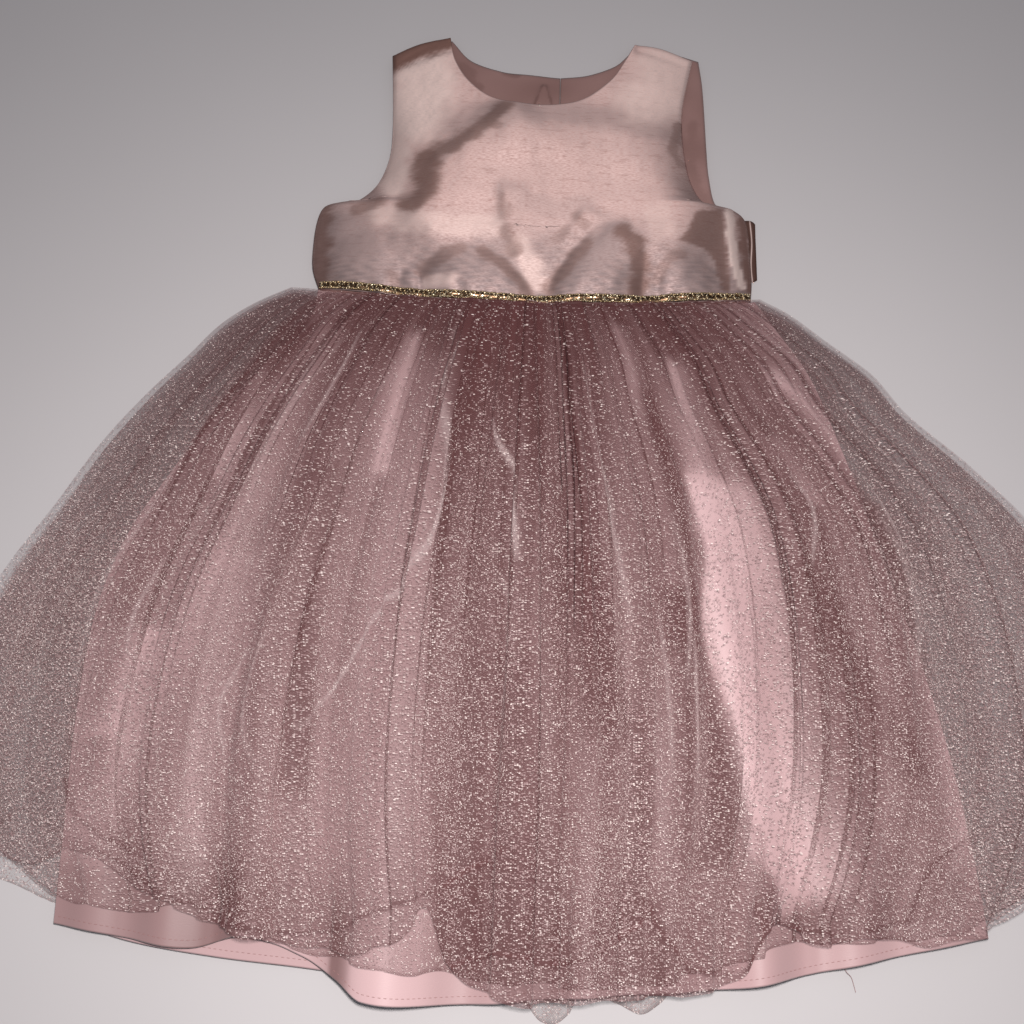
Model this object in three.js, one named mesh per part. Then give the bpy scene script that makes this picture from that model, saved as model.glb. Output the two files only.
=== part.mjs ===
// A toddler's sleeveless party dress, laid flat on a table with its front up.
// Satin bodice, gold braid at the waist, and gathered tulle over a satin lining skirt.
// Millimetres, +Z up, the neck towards +Y. The dress is drawn from its waist seam at y = 0,
// and one group then moves it so that the origin is on the table under the middle of its outline.
import * as THREE from "three";

// Driving sizes
const wall = 1.3; // every cloth wall, measured straight up
const gap = 0.3; // between pieces that touch
const pitch = wall + gap;
const waistHalf = 135; // half the flat waist
const seamMiddle = -6.2; // the waist seam dips towards the middle of the front
const seamRise = 7.6; // and rises this far to its ends
const seamGap = 0.2; // each side of the waist seam
const waistToOrigin = 110; // the waist seam lies this far above the middle of the outline
const backOpening = 13.4; // where the two halves of the back meet
const sash = { low: 18, high: 59.5, left: -137, right: 140.5 };
const braid = { width: 4.6, height: 2.2, stitches: 36 };
const foldEnd = 0.35; // a fold fades past its ends over this share of its width
const puffEdge = 0.005; // how softly a puff meets the cloth around it
const puffStart = 4; // a puff rises from the waist seam over this distance

// Cloth colours
const cloths = {
  satin: { color: 0xd8b4ad, roughness: 0.45, metalness: 0.15 },
  liningSatin: { color: 0xdca09c, roughness: 0.55, metalness: 0 },
  liningPlain: { color: 0xb98a88, roughness: 0.8, metalness: 0 },
  tulle: { color: 0xb58990, roughness: 0.7, metalness: 0.1 },
  gold: { color: 0xb8965a, roughness: 0.35, metalness: 0.9 },
};

// Heights of the layers over the table, from the back of the dress to its front
const layer = {
  sash: 0,
  bodiceBack: pitch,
  backLining: 2 * pitch,
  bodiceFront: 3 * pitch,
  tulleBackOuter: 0,
  tulleBackInner: pitch,
  skirtBack: 2 * pitch,
  skirtFront: 3 * pitch,
};

// Outlines of the bodice, each from the waist up to the shoulder
const outlines = {
  frontLeft: [
    { x: -135, y: 1.6 }, { x: -140, y: 16 }, { x: -141, y: 32 }, { x: -140, y: 50 },
    { x: -136, y: 61 }, { x: -127, y: 64 }, { x: -116, y: 65.6 }, { x: -103.5, y: 78 },
    { x: -96.8, y: 98 }, { x: -96, y: 121 }, { x: -97.6, y: 150 }, { x: -99.7, y: 178 },
  ],
  frontRight: [
    { x: 135, y: 1.6 }, { x: 136, y: 16 }, { x: 135.3, y: 36 }, { x: 133.5, y: 58 },
    { x: 125, y: 67 }, { x: 117, y: 68 }, { x: 106.5, y: 72 }, { x: 99, y: 86 },
    { x: 95.5, y: 104 }, { x: 93.9, y: 124 }, { x: 95, y: 145 }, { x: 101.5, y: 180 },
  ],
  backLeft: [
    { x: -134, y: 1.6 }, { x: -138, y: 16 }, { x: -139, y: 32 }, { x: -138, y: 50 },
    { x: -133, y: 60 }, { x: -124, y: 62 }, { x: -112, y: 65.4 }, { x: -101, y: 79 },
    { x: -94.8, y: 99 }, { x: -94, y: 121 }, { x: -95.6, y: 150 }, { x: -98.2, y: 177 },
  ],
  backRight: [
    { x: 134, y: 1.6 }, { x: 135, y: 16 }, { x: 134, y: 36 }, { x: 132, y: 56 },
    { x: 126, y: 64 }, { x: 120, y: 67 }, { x: 114, y: 73 }, { x: 111, y: 91 },
    { x: 110, y: 114 }, { x: 109, y: 145 }, { x: 108, y: 164 }, { x: 106, y: 182 },
  ],
};
const frontNeck = [
  { x: -61.5, y: 194 }, { x: -57.5, y: 176 }, { x: -46, y: 157.5 }, { x: -26, y: 143.5 },
  { x: 0, y: 140.2 }, { x: 26, y: 145.5 }, { x: 46, y: 161.5 }, { x: 56.5, y: 179 },
  { x: 63, y: 192 },
];
const backNeckLeft = [
  { x: -60.5, y: 193.5 }, { x: -47, y: 178 }, { x: -27, y: 170.3 }, { x: -9, y: 168 },
  { x: 13.25, y: 166 },
];
const backNeckRight = [
  { x: 13.55, y: 166 }, { x: 31.5, y: 168.5 }, { x: 49, y: 176 }, { x: 57.5, y: 184 },
  { x: 62.5, y: 191.5 },
];

// How full the bodice front lies, from the waist up
const bodiceFullness = [
  { y: -8, lift: 3.6 }, { y: 8, lift: 4.8 }, { y: 40, lift: 5.2 }, { y: 70, lift: 5.0 },
  { y: 104, lift: 4.8 }, { y: 120, lift: 4.2 }, { y: 142, lift: 1.8 }, { y: 160, lift: 1.4 },
  { y: 180, lift: 0.6 }, { y: 200, lift: 0 },
];
// The satin puffs out above the waist. lean is how far a puff moves right for each
// millimetre up.
const bodicePuffs = [
  { middle: -108, half: 26, top: 40, lean: 0, height: 3.4 },
  { middle: -36, half: 36, top: 33, lean: -0.15, height: 4.4 },
  { middle: 34, half: 29, top: 53, lean: 0.3, height: 5.2 },
  { middle: 96, half: 21, top: 30, lean: 0, height: 3.2 },
  { middle: -78, half: 8, top: 16, lean: 0, height: 1.6 },
];
// Its largest folds. Each is a ridge along a path, or a trough where the height is negative,
// and reaches further to one side of the path than to the other.
const bodiceFolds = [
  { path: [[-18, 130], [-46, 101], [-60, 88], [-64, 68], [-74, 52]], height: 3.8, right: 14, left: 34 },
  { path: [[-98, 64], [-102, 50]], height: 1.2, right: 7, left: 12 },
  { path: [[-19, 70], [-17, 50], [-9, 28]], height: 1.6, right: 7, left: 14 },
  { path: [[32, 58], [20, 40]], height: 0.9, right: 5, left: 9 },
  { path: [[84, 30], [90, 42], [103, 66]], height: 4.4, right: 18, left: 36 },
  { path: [[123, 66], [123, 34], [128, 4]], height: 2.2, right: 4, left: 4 },
  { path: [[86, 128], [80, 108], [88, 90]], height: 1.6, right: 16, left: 7 },
  { path: [[-98, 168], [-80, 178], [-62, 187]], height: -1.6, right: 4, left: 4 },
  { path: [[66, 188], [84, 183], [100, 176]], height: -1.0, right: 4, left: 4 },
  { path: [[-128, 60], [-126, 30], [-127, 6]], height: 1.6, right: 6, left: 14 },
  { path: [[-14, 126], [30, 122], [86, 112]], height: 1.4, right: 24, left: 13 },
];

// Half widths of the skirt's layers at each place below the waist
const liningWidths = [
  { y: 6, left: 135, right: 134 }, { y: -18, left: 138, right: 150 },
  { y: -46, left: 161, right: 168 }, { y: -80, left: 186, right: 181 },
  { y: -120, left: 212, right: 194 }, { y: -160, left: 233, right: 205 },
  { y: -205, left: 245, right: 219 }, { y: -260, left: 248, right: 233 },
  { y: -320, left: 246, right: 243 }, { y: -375, left: 244, right: 249 },
];
const tulleWidths = [
  { y: 6, left: 136, right: 135 }, { y: 1, left: 152, right: 140 },
  { y: -8, left: 171, right: 157 }, { y: -24, left: 192, right: 178 },
  { y: -46, left: 210, right: 206 }, { y: -72, left: 232, right: 226 },
  { y: -104, left: 255, right: 261 }, { y: -142, left: 276, right: 295 },
  { y: -190, left: 303, right: 314 }, { y: -240, left: 318, right: 322 },
  { y: -290, left: 322, right: 321 }, { y: -330, left: 312, right: 306 },
  { y: -360, left: 296, right: 288 },
];
// Hems, from left to right
const hems = {
  tulleOuter: [
    { x: -323, y: -296 }, { x: -312, y: -318 }, { x: -288, y: -335 }, { x: -256, y: -343 },
    { x: -240, y: -335 },
    { x: -198, y: -354 }, { x: -150, y: -374 }, { x: -110, y: -381 }, { x: -62, y: -377 },
    { x: -47, y: -358 }, { x: -36, y: -386 }, { x: -6, y: -402 }, { x: 48, y: -402 },
    { x: 92, y: -397 }, { x: 119, y: -384 }, { x: 131, y: -362 }, { x: 158, y: -372 },
    { x: 186, y: -365 }, { x: 214, y: -370 }, { x: 244, y: -363 }, { x: 272, y: -347 },
    { x: 306, y: -322 }, { x: 323, y: -294 },
  ],
  tulleInner: [
    { x: -318, y: -292 }, { x: -304, y: -324 }, { x: -268, y: -349 }, { x: -240, y: -364 },
    { x: -206, y: -368 },
    { x: -181, y: -363 }, { x: -140, y: -376 }, { x: -90, y: -386 }, { x: -40, y: -392 },
    { x: 4, y: -396 }, { x: 52, y: -396 }, { x: 100, y: -388 }, { x: 140, y: -374 },
    { x: 190, y: -370 }, { x: 236, y: -364 }, { x: 264, y: -350 }, { x: 302, y: -326 },
    { x: 318, y: -294 },
  ],
  tulleBack: [
    { x: -323, y: -294 }, { x: -309, y: -330 }, { x: -278, y: -353 }, { x: -246, y: -364 },
    { x: -190, y: -373 },
    { x: -120, y: -384 }, { x: -50, y: -392 }, { x: -4, y: -399 }, { x: 10, y: -413 },
    { x: 24, y: -409 }, { x: 33, y: -394 }, { x: 46, y: -402 }, { x: 74, y: -412 },
    { x: 90, y: -398 }, { x: 150, y: -384 }, { x: 222, y: -370 }, { x: 268, y: -349 },
    { x: 305, y: -325 }, { x: 322, y: -293 },
  ],
  liningFront: [
    { x: -246, y: -374 }, { x: -205, y: -380 }, { x: -170, y: -384 }, { x: -142, y: -377 },
    { x: -112, y: -386 }, { x: -92, y: -397 }, { x: -78, y: -406 }, { x: -32, y: -407 },
    { x: 16, y: -403 }, { x: 66, y: -399 }, { x: 110, y: -395 }, { x: 138, y: -390 },
    { x: 184, y: -380 }, { x: 226, y: -371 }, { x: 250, y: -366 },
  ],
  liningBack: [
    { x: -246, y: -371 }, { x: -204, y: -382 }, { x: -160, y: -388 }, { x: -112, y: -392 },
    { x: -50, y: -398 }, { x: 20, y: -399 }, { x: 110, y: -391 }, { x: 184, y: -377 },
    { x: 250, y: -364 },
  ],
};

// How far each skirt layer swells over the one below, at each place below the waist
const skirtFullness = [
  { y: 6, lining: 0, tulle: 0.1 }, { y: -14, lining: 1.6, tulle: 2.6 },
  { y: -44, lining: 2.6, tulle: 5.6 }, { y: -100, lining: 2.4, tulle: 6.2 },
  { y: -180, lining: 1.8, tulle: 5.0 }, { y: -280, lining: 1.4, tulle: 3.6 },
  { y: -420, lining: 1.0, tulle: 1.8 },
];
const gatherHeights = [
  { y: 6, inner: 0.7, outer: 1.0 }, { y: -12, inner: 1.4, outer: 1.8 },
  { y: -50, inner: 2.0, outer: 2.6 }, { y: -160, inner: 2.4, outer: 3.2 },
  { y: -420, inner: 3.0, outer: 4.2 },
];
// The lining's flutes run down from the waist. at and half are shares of the half width.
const flutes = [
  { at: -0.93, half: 0.07, waist: 0.5, hem: 4.5 },
  { at: -0.76, half: 0.09, waist: 0.6, hem: 5 },
  { at: -0.575, half: 0.08, waist: 1.0, hem: 8 },
  { at: -0.28, half: 0.17, waist: 1.5, hem: 14 },
  { at: -0.03, half: 0.08, waist: 1.2, hem: 6 },
  { at: 0.15, half: 0.09, waist: 1.2, hem: 7 },
  { at: 0.33, half: 0.08, waist: 1.0, hem: 5 },
  { at: 0.51, half: 0.1, waist: 1.4, hem: 10 },
  { at: 0.72, half: 0.09, waist: 0.8, hem: 6 },
  { at: 0.91, half: 0.08, waist: 0.5, hem: 4.5 },
];

// A value between the rows of a table, eased so that no corner shows.
function between(table, key, at, name) {
  const rising = table[table.length - 1][key] > table[0][key];
  const passed = (row) => (rising ? row[key] > at : row[key] < at);
  const after = table.findIndex(passed);
  if (after === 0) return table[0][name];
  if (after < 0) return table[table.length - 1][name];
  const from = table[after - 1];
  const to = table[after];
  const share = (at - from[key]) / (to[key] - from[key]);
  const slopeAt = (index) => {
    const before = table[Math.max(index - 1, 0)];
    const next = table[Math.min(index + 1, table.length - 1)];
    return (next[name] - before[name]) / (next[key] - before[key]);
  };
  const run = to[key] - from[key];
  const s2 = share * share;
  const s3 = s2 * share;
  return (2 * s3 - 3 * s2 + 1) * from[name] + (s3 - 2 * s2 + share) * run * slopeAt(after - 1)
    + (3 * s2 - 2 * s3) * to[name] + (s3 - s2) * run * slopeAt(after);
}

const mix = (from, to, share) => from + (to - from) * share;
const seamAt = (x) => seamMiddle + seamRise * (x / waistHalf) ** 2;

function curveThrough(points) {
  const corners = points.map((p) => new THREE.Vector3(p.x, p.y, 0));
  return new THREE.CatmullRomCurve3(corners, false, "centripetal");
}

// Where a point lies beside a path in plan: its distance to the right of the path's
// direction, below 0 to the left, and its distance past the path's ends.
function besidePath(path, x, y) {
  let nearest = Infinity;
  let found = { aside: 0, beyond: 0 };
  for (let i = 1; i < path.length; i++) {
    const [ax, ay] = path[i - 1];
    const [bx, by] = path[i];
    const length = Math.hypot(bx - ax, by - ay);
    const along = ((x - ax) * (bx - ax) + (y - ay) * (by - ay)) / length;
    const side = ((x - ax) * (by - ay) - (y - ay) * (bx - ax)) / length;
    const before = Math.max(-along, 0);
    const after = Math.max(along - length, 0);
    const distance = Math.hypot(side, before + after);
    if (distance >= nearest) continue;
    nearest = distance;
    const beyond = (i === 1 ? before : 0) + (i === path.length - 1 ? after : 0);
    found = { aside: beyond > 0 ? side : Math.sign(side) * distance, beyond };
  }
  return found;
}

// A closed wall of cloth between a grid of points and the same grid lifted by its thickness.
function clothWall(columns, rows, pointAt) {
  const under = [];
  for (let j = 0; j <= rows; j++)
    for (let i = 0; i <= columns; i++) under.push(pointAt(i, j));
  const positions = [];
  for (const lift of [0, wall])
    for (const p of under) positions.push(p.x, p.y, p.z + lift);
  const across = columns + 1;
  const top = under.length;
  const at = (i, j) => j * across + i;
  const faces = [];
  const quad = (a, b, c, d) => faces.push(a, b, c, a, c, d);
  for (let j = 0; j < rows; j++)
    for (let i = 0; i < columns; i++) {
      quad(top + at(i, j), top + at(i + 1, j), top + at(i + 1, j + 1), top + at(i, j + 1));
      quad(at(i, j), at(i, j + 1), at(i + 1, j + 1), at(i + 1, j));
    }
  const rim = [];
  for (let i = 0; i < columns; i++) rim.push(at(i, 0));
  for (let j = 0; j < rows; j++) rim.push(at(columns, j));
  for (let i = columns; i > 0; i--) rim.push(at(i, rows));
  for (let j = rows; j > 0; j--) rim.push(at(0, j));
  rim.forEach((from, n) => {
    const to = rim[(n + 1) % rim.length];
    quad(from, to, top + to, top + from);
  });
  const geometry = new THREE.BufferGeometry();
  geometry.setAttribute("position", new THREE.Float32BufferAttribute(positions, 3));
  geometry.setIndex(faces);
  geometry.computeVertexNormals();
  return geometry;
}

const dress = new THREE.Group();
dress.position.y = waistToOrigin;

function add(name, cloth, geometry) {
  const material = new THREE.MeshStandardMaterial({ ...cloths[cloth], side: THREE.DoubleSide });
  const piece = new THREE.Mesh(geometry, material);
  piece.name = name;
  dress.add(piece);
}

// A bodice piece is stretched between its waist, its two sides and its upper edge.
// upper lists the upper edge's stretches: the columns over each and its share of the waist.
function bodicePiece({ left, right, upper, rows, waistFrom, waistTo, heightAt }) {
  const tops = [];
  const shares = [];
  upper.forEach((stretch, n) => {
    const first = n ? 1 : 0;
    for (let i = first; i <= stretch.columns; i++) {
      tops.push(stretch.curve.getPointAt(i / stretch.columns));
      shares.push(mix(stretch.from, stretch.to, i / stretch.columns));
    }
  });
  const columns = tops.length - 1;
  const waistPoint = (share) => {
    const x = mix(waistFrom, waistTo, share);
    return new THREE.Vector3(x, seamAt(x) + seamGap, 0);
  };
  const straight = (share, top, v) => waistPoint(share).lerp(top, v);
  return clothWall(columns, rows, (i, j) => {
    const v = j / rows;
    const point = straight(shares[i], tops[i], v);
    const leftPull = left.getPointAt(v).sub(straight(0, tops[0], v));
    const rightPull = right.getPointAt(v).sub(straight(1, tops[columns], v));
    point.addScaledVector(leftPull, 1 - shares[i]).addScaledVector(rightPull, shares[i]);
    point.z = heightAt(point.x, point.y);
    return point;
  });
}

const frontEdges = {
  left: curveThrough(outlines.frontLeft),
  right: curveThrough(outlines.frontRight),
};

function sideShare(x, y) {
  const edge = x < 0 ? outlines.frontLeft : outlines.frontRight;
  return Math.min(Math.abs(x / between(edge, "y", Math.max(y, 2), "x")), 1);
}

function foldRelief(x, y) {
  let relief = 0;
  for (const fold of bodiceFolds) {
    const { aside, beyond } = besidePath(fold.path, x, y);
    const reach = aside > 0 ? fold.right : fold.left;
    const fade = foldEnd * (fold.right + fold.left);
    relief += fold.height * Math.exp(-((aside / reach) ** 2) - (beyond / fade) ** 2);
  }
  return relief;
}

// Each puff is a rounded dome that stands on the waist seam and fades into the cloth.
function puffRelief(x, y) {
  const above = Math.max(y - seamAt(x), 0);
  let relief = 0;
  for (const puff of bodicePuffs) {
    const off = (x - puff.middle - puff.lean * above) / puff.half;
    const up = above / (puff.top - seamAt(puff.middle));
    const inside = 1 - off ** 2 - up ** 2;
    const dome = 0.5 * (inside + Math.sqrt(inside ** 2 + puffEdge));
    relief = Math.max(relief, puff.height * dome);
  }
  return relief * (1 - Math.exp(-above / puffStart));
}

function frontHeight(x, y) {
  const roundAway = 1 - sideShare(x, y) ** 5;
  const fullness = between(bodiceFullness, "y", y, "lift");
  const lift = fullness + foldRelief(x, y) + puffRelief(x, y);
  return layer.bodiceFront + Math.max(lift, 0) * roundAway;
}

// The back lies flat on the table and rises over the sash.
function backHeight(floor, y) {
  const past = THREE.MathUtils.smoothstep(y, sash.high + 27, sash.high + 50);
  return floor - pitch * past;
}

function shoulder(outer, neck) {
  const crown = { x: mix(outer.x, neck.x, 0.45), y: mix(outer.y, neck.y, 0.45) + 2.5 };
  return curveThrough([outer, crown, neck]);
}

const last = (list) => list[list.length - 1];
add("bodice_front", "satin", bodicePiece({
  left: frontEdges.left,
  right: frontEdges.right,
  upper: [
    { curve: shoulder(last(outlines.frontLeft), frontNeck[0]), columns: 6, from: 0, to: 0.21 },
    { curve: curveThrough(frontNeck), columns: 21, from: 0.21, to: 0.79 },
    { curve: shoulder(last(frontNeck), last(outlines.frontRight)), columns: 6, from: 0.79, to: 1 },
  ],
  rows: 22, waistFrom: -waistHalf, waistTo: waistHalf, heightAt: frontHeight,
}));

const backHalves = [
  {
    side: "left", waistFrom: -waistHalf + 1, waistTo: backOpening - gap / 2,
    outer: outlines.backLeft, neck: backNeckLeft,
  },
  {
    side: "right", waistFrom: backOpening + gap / 2, waistTo: waistHalf - 1,
    outer: outlines.backRight, neck: backNeckRight,
  },
];
for (const half of backHalves) {
  const isLeft = half.side === "left";
  const meeting = isLeft ? half.waistTo : half.waistFrom;
  const neckEnd = isLeft ? last(half.neck) : half.neck[0];
  const centre = curveThrough([
    { x: meeting, y: seamAt(meeting) + seamGap }, { x: meeting, y: 80 }, neckEnd,
  ]);
  const strap = isLeft
    ? shoulder(last(half.outer), half.neck[0])
    : shoulder(last(half.neck), last(half.outer));
  const strapEdge = { curve: strap, columns: 3, from: isLeft ? 0 : 0.58, to: isLeft ? 0.42 : 1 };
  const neckEdge = {
    curve: curveThrough(half.neck), columns: 6, from: isLeft ? 0.42 : 0, to: isLeft ? 1 : 0.58,
  };
  for (const [name, cloth, floor] of [
    ["bodice_back_", "satin", layer.bodiceBack],
    ["back_lining_", "liningPlain", layer.backLining],
  ]) {
    add(name + half.side, cloth, bodicePiece({
      left: isLeft ? curveThrough(half.outer) : centre,
      right: isLeft ? centre : curveThrough(half.outer),
      upper: isLeft ? [strapEdge, neckEdge] : [neckEdge, strapEdge],
      rows: 8, waistFrom: half.waistFrom, waistTo: half.waistTo,
      heightAt: (x, y) => backHeight(floor, y),
    }));
  }
}

// The sash crosses under the back, and its folded edge stands out past the right side.
add("sash", "satin", clothWall(8, 2, (i, j) => {
  const x = mix(sash.left, sash.right, i / 8);
  const slant = seamRise * (x / waistHalf) ** 2 * 0.6;
  const y = mix(sash.low, sash.high, j / 2) + (j ? slant / 2 : 0);
  return new THREE.Vector3(x, y, layer.sash);
}));

// Braid over the waist seam: a half round strip whose edge waves from stitch to stitch.
function braidGeometry() {
  const across = [
    { out: -0.5, up: 0 }, { out: 0.5, up: 0 }, { out: 0.46, up: 0.55 },
    { out: 0, up: 1 }, { out: -0.46, up: 0.55 },
  ];
  const stations = braid.stitches * 2;
  const positions = [];
  for (let i = 0; i <= stations; i++) {
    const x = mix(-waistHalf + 0.5, waistHalf - 0.5, i / stations);
    const y = seamAt(x) + seamGap + 0.2 + braid.width / 2;
    const swell = i % 2 ? 1 : 0.84;
    const rest = Math.max(...[-4, 0, 4].map((aside) => frontHeight(x + aside, y + 3)));
    for (const corner of across) {
      const up = rest + pitch + 0.2 + corner.up * braid.height * swell;
      positions.push(x, y + corner.out * braid.width * swell, up);
    }
  }
  const count = across.length;
  const faces = [];
  for (let i = 0; i < stations; i++)
    for (let k = 0; k < count; k++) {
      const a = i * count + k;
      const b = i * count + ((k + 1) % count);
      faces.push(a, b, b + count, a, b + count, a + count);
    }
  const end = stations * count;
  for (let k = 1; k + 1 < count; k++) {
    faces.push(0, k + 1, k);
    faces.push(end, end + k, end + k + 1);
  }
  const geometry = new THREE.BufferGeometry();
  geometry.setAttribute("position", new THREE.Float32BufferAttribute(positions, 3));
  geometry.setIndex(faces);
  geometry.computeVertexNormals();
  return geometry;
}
add("waist_braid", "gold", braidGeometry());

// Skirt layers fan out from the waist. share runs from -1 at the left side to 1 at the right.
const halfWidth = (widths, y, share) => between(widths, "y", y, share < 0 ? "left" : "right");

function hemAt(widths, hem, share) {
  let y = -380;
  for (let round = 0; round < 8; round++) {
    y = between(hem, "x", share * halfWidth(widths, y, share), "y");
  }
  return y;
}

function skirtPiece({ widths, hem, trim = 1, columns, rows, heightAt }) {
  const drops = rows.length - 1;
  return clothWall(columns.length - 1, drops, (i, j) => {
    const { share } = columns[i];
    const seam = seamAt(share * waistHalf) - seamGap;
    const bottom = hemAt(widths, hem, share);
    const y = mix(bottom, seam, rows[j]);
    const x = share * halfWidth(widths, y, share) * mix(trim, 1, rows[j]);
    return new THREE.Vector3(x, y, heightAt(x, y, columns[i]));
  });
}

// Rows as shares of the way up from the hem to the waist.
const frontRows = [0, 0.08, 0.21, 0.4, 0.62, 0.82, 0.94, 1];
const liningRows = [0, 0.13, 0.34, 0.56, 0.76, 0.9, 0.965, 1];
const backRows = [0, 0.08, 0.21, 0.4, 0.62, 0.82, 0.96, 1];

function evenColumns(count) {
  return Array.from({ length: count + 1 }, (_, i) => ({ share: mix(-1, 1, i / count) }));
}

// Gathers: each has a rounded crest between two narrow valleys, none as wide as the next.
const gatherShape = [0, 0.8, 1, 0.8];
function gatherColumns(gathers, unevenness, points) {
  const starts = [];
  for (let n = 0; n <= gathers; n++) {
    const wander = Math.sin(n * 2.4) * 0.6 + Math.sin(n * 1.1 + 1) * 0.4;
    const inside = n > 0 && n < gathers ? 1 : 0;
    starts.push(-1 + (2 / gathers) * (n + unevenness * wander * inside));
  }
  const columns = [];
  for (let n = 0; n < gathers; n++) {
    const strength = 0.72 + 0.28 * Math.sin(n * 1.9 + 0.5);
    for (let k = 0; k < points; k++) {
      const crest = gatherShape[Math.round((k * gatherShape.length) / points)];
      columns.push({ share: mix(starts[n], starts[n + 1], k / points), crest: crest * strength });
    }
  }
  columns.push({ share: 1, crest: 0 });
  return columns;
}

function liningFrontHeight(x, y) {
  const share = Math.min(Math.abs(x) / halfWidth(liningWidths, y, x), 1);
  const signed = Math.sign(x) * share;
  const taper = 1 - share ** 8;
  const down = THREE.MathUtils.smoothstep(-y, -4, 400);
  let lift = between(skirtFullness, "y", y, "lining");
  for (const flute of flutes) {
    const off = Math.abs(signed - flute.at) / flute.half;
    if (off < 1) lift += mix(flute.waist, flute.hem, down) * 0.5 * (1 + Math.cos(Math.PI * off));
  }
  return layer.skirtFront + lift * taper;
}

// Where the tulle rests: on the lining, and past its sides on the back of the skirt.
function tulleFloor(x, y) {
  const liningEdge = halfWidth(liningWidths, y, x);
  const tulleEdge = halfWidth(tulleWidths, y, x);
  const past = THREE.MathUtils.smoothstep(Math.abs(x), liningEdge + 2, liningEdge + 34);
  const onLining = liningFrontHeight(x, y) + pitch;
  const floor = mix(onLining, layer.skirtBack, past);
  const edge = 1 - Math.min(Math.abs(x) / tulleEdge, 1) ** 6;
  return floor + between(skirtFullness, "y", y, "tulle") * edge;
}

const clearance = 0.5; // extra room between tulle layers whose gathers differ
const innerHeight = (x, y, column) =>
  tulleFloor(x, y) + column.crest * between(gatherHeights, "y", y, "inner");
const outerHeight = (x, y, column) =>
  tulleFloor(x, y) + between(gatherHeights, "y", y, "inner") + pitch + clearance
  + column.crest * between(gatherHeights, "y", y, "outer");

const flatAt = (floor) => () => floor;
add("tulle_back_outer", "tulle", skirtPiece({
  widths: tulleWidths, hem: hems.tulleBack, columns: evenColumns(44), rows: backRows,
  heightAt: flatAt(layer.tulleBackOuter),
}));
add("tulle_back_inner", "tulle", skirtPiece({
  widths: tulleWidths, hem: hems.tulleInner, trim: 0.985, columns: evenColumns(30),
  rows: backRows, heightAt: flatAt(layer.tulleBackInner),
}));
add("skirt_lining_back", "liningSatin", skirtPiece({
  widths: liningWidths, hem: hems.liningBack, trim: 0.995, columns: evenColumns(20),
  rows: backRows, heightAt: flatAt(layer.skirtBack),
}));
add("skirt_lining_front", "liningSatin", skirtPiece({
  widths: liningWidths, hem: hems.liningFront, columns: evenColumns(62), rows: liningRows,
  heightAt: liningFrontHeight,
}));
add("tulle_front_inner", "tulle", skirtPiece({
  widths: tulleWidths, hem: hems.tulleInner, trim: 0.97, columns: gatherColumns(22, 0.2, 3),
  rows: frontRows, heightAt: innerHeight,
}));
add("tulle_front_outer", "tulle", skirtPiece({
  widths: tulleWidths, hem: hems.tulleOuter, columns: gatherColumns(36, 0.22, 4),
  rows: frontRows, heightAt: outerHeight,
}));

const root = new THREE.Group();
root.add(dress);
export default root;
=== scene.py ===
# A toddler's party dress laid on a table with its front up: slubbed satin bodice,
# gold braid at the waist, and layers of glitter tulle gathered over a pink satin skirt.
import math

import bpy
import numpy as np
from mathutils import Matrix, Vector


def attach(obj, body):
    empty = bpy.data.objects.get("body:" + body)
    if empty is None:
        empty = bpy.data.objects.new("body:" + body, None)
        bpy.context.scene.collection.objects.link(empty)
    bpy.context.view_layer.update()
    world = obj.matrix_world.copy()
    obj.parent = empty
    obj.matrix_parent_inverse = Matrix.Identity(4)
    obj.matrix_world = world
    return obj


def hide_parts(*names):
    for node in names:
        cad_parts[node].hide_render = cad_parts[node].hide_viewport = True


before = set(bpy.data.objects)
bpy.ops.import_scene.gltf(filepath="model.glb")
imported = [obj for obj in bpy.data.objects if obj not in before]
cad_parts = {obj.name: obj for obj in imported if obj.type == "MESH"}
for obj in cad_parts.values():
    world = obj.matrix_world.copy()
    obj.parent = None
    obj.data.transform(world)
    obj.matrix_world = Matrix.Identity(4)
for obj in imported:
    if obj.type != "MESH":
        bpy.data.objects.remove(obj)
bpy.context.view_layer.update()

# The dress is drawn in millimetres from its waist seam at y = 0, as it was cut.
MM = 0.001
WAIST_ABOVE_ORIGIN = 110.0
WALL = 1.3
PITCH = 1.6
SATIN_THICKNESS = 0.9
WAIST_HALF = 135.0
SEAM_MIDDLE = -6.2
SEAM_RISE = 7.6
BACK_OPENING = 13.4
BRAID_ABOVE_SEAM = 2.7
BRAID_UNITS = 92
SASH_LOW, SASH_HIGH = 18.0, 59.5
SASH_LEFT, SASH_RIGHT = -137.0, 140.5
SASH_HIGHLIGHT_LINE = 137.4
HEM_TURN_UP = 11.0
STITCHES_ABOVE_HEM = 4.0
STITCH_PITCH = 3.0

LAYER = {
    "bodice_back": PITCH, "back_lining": 2 * PITCH, "bodice_front": 3 * PITCH,
    "tulle_back_outer": 0.0, "tulle_back_inner": PITCH,
    "skirt_back": 2 * PITCH, "skirt_front": 3 * PITCH,
}

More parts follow.
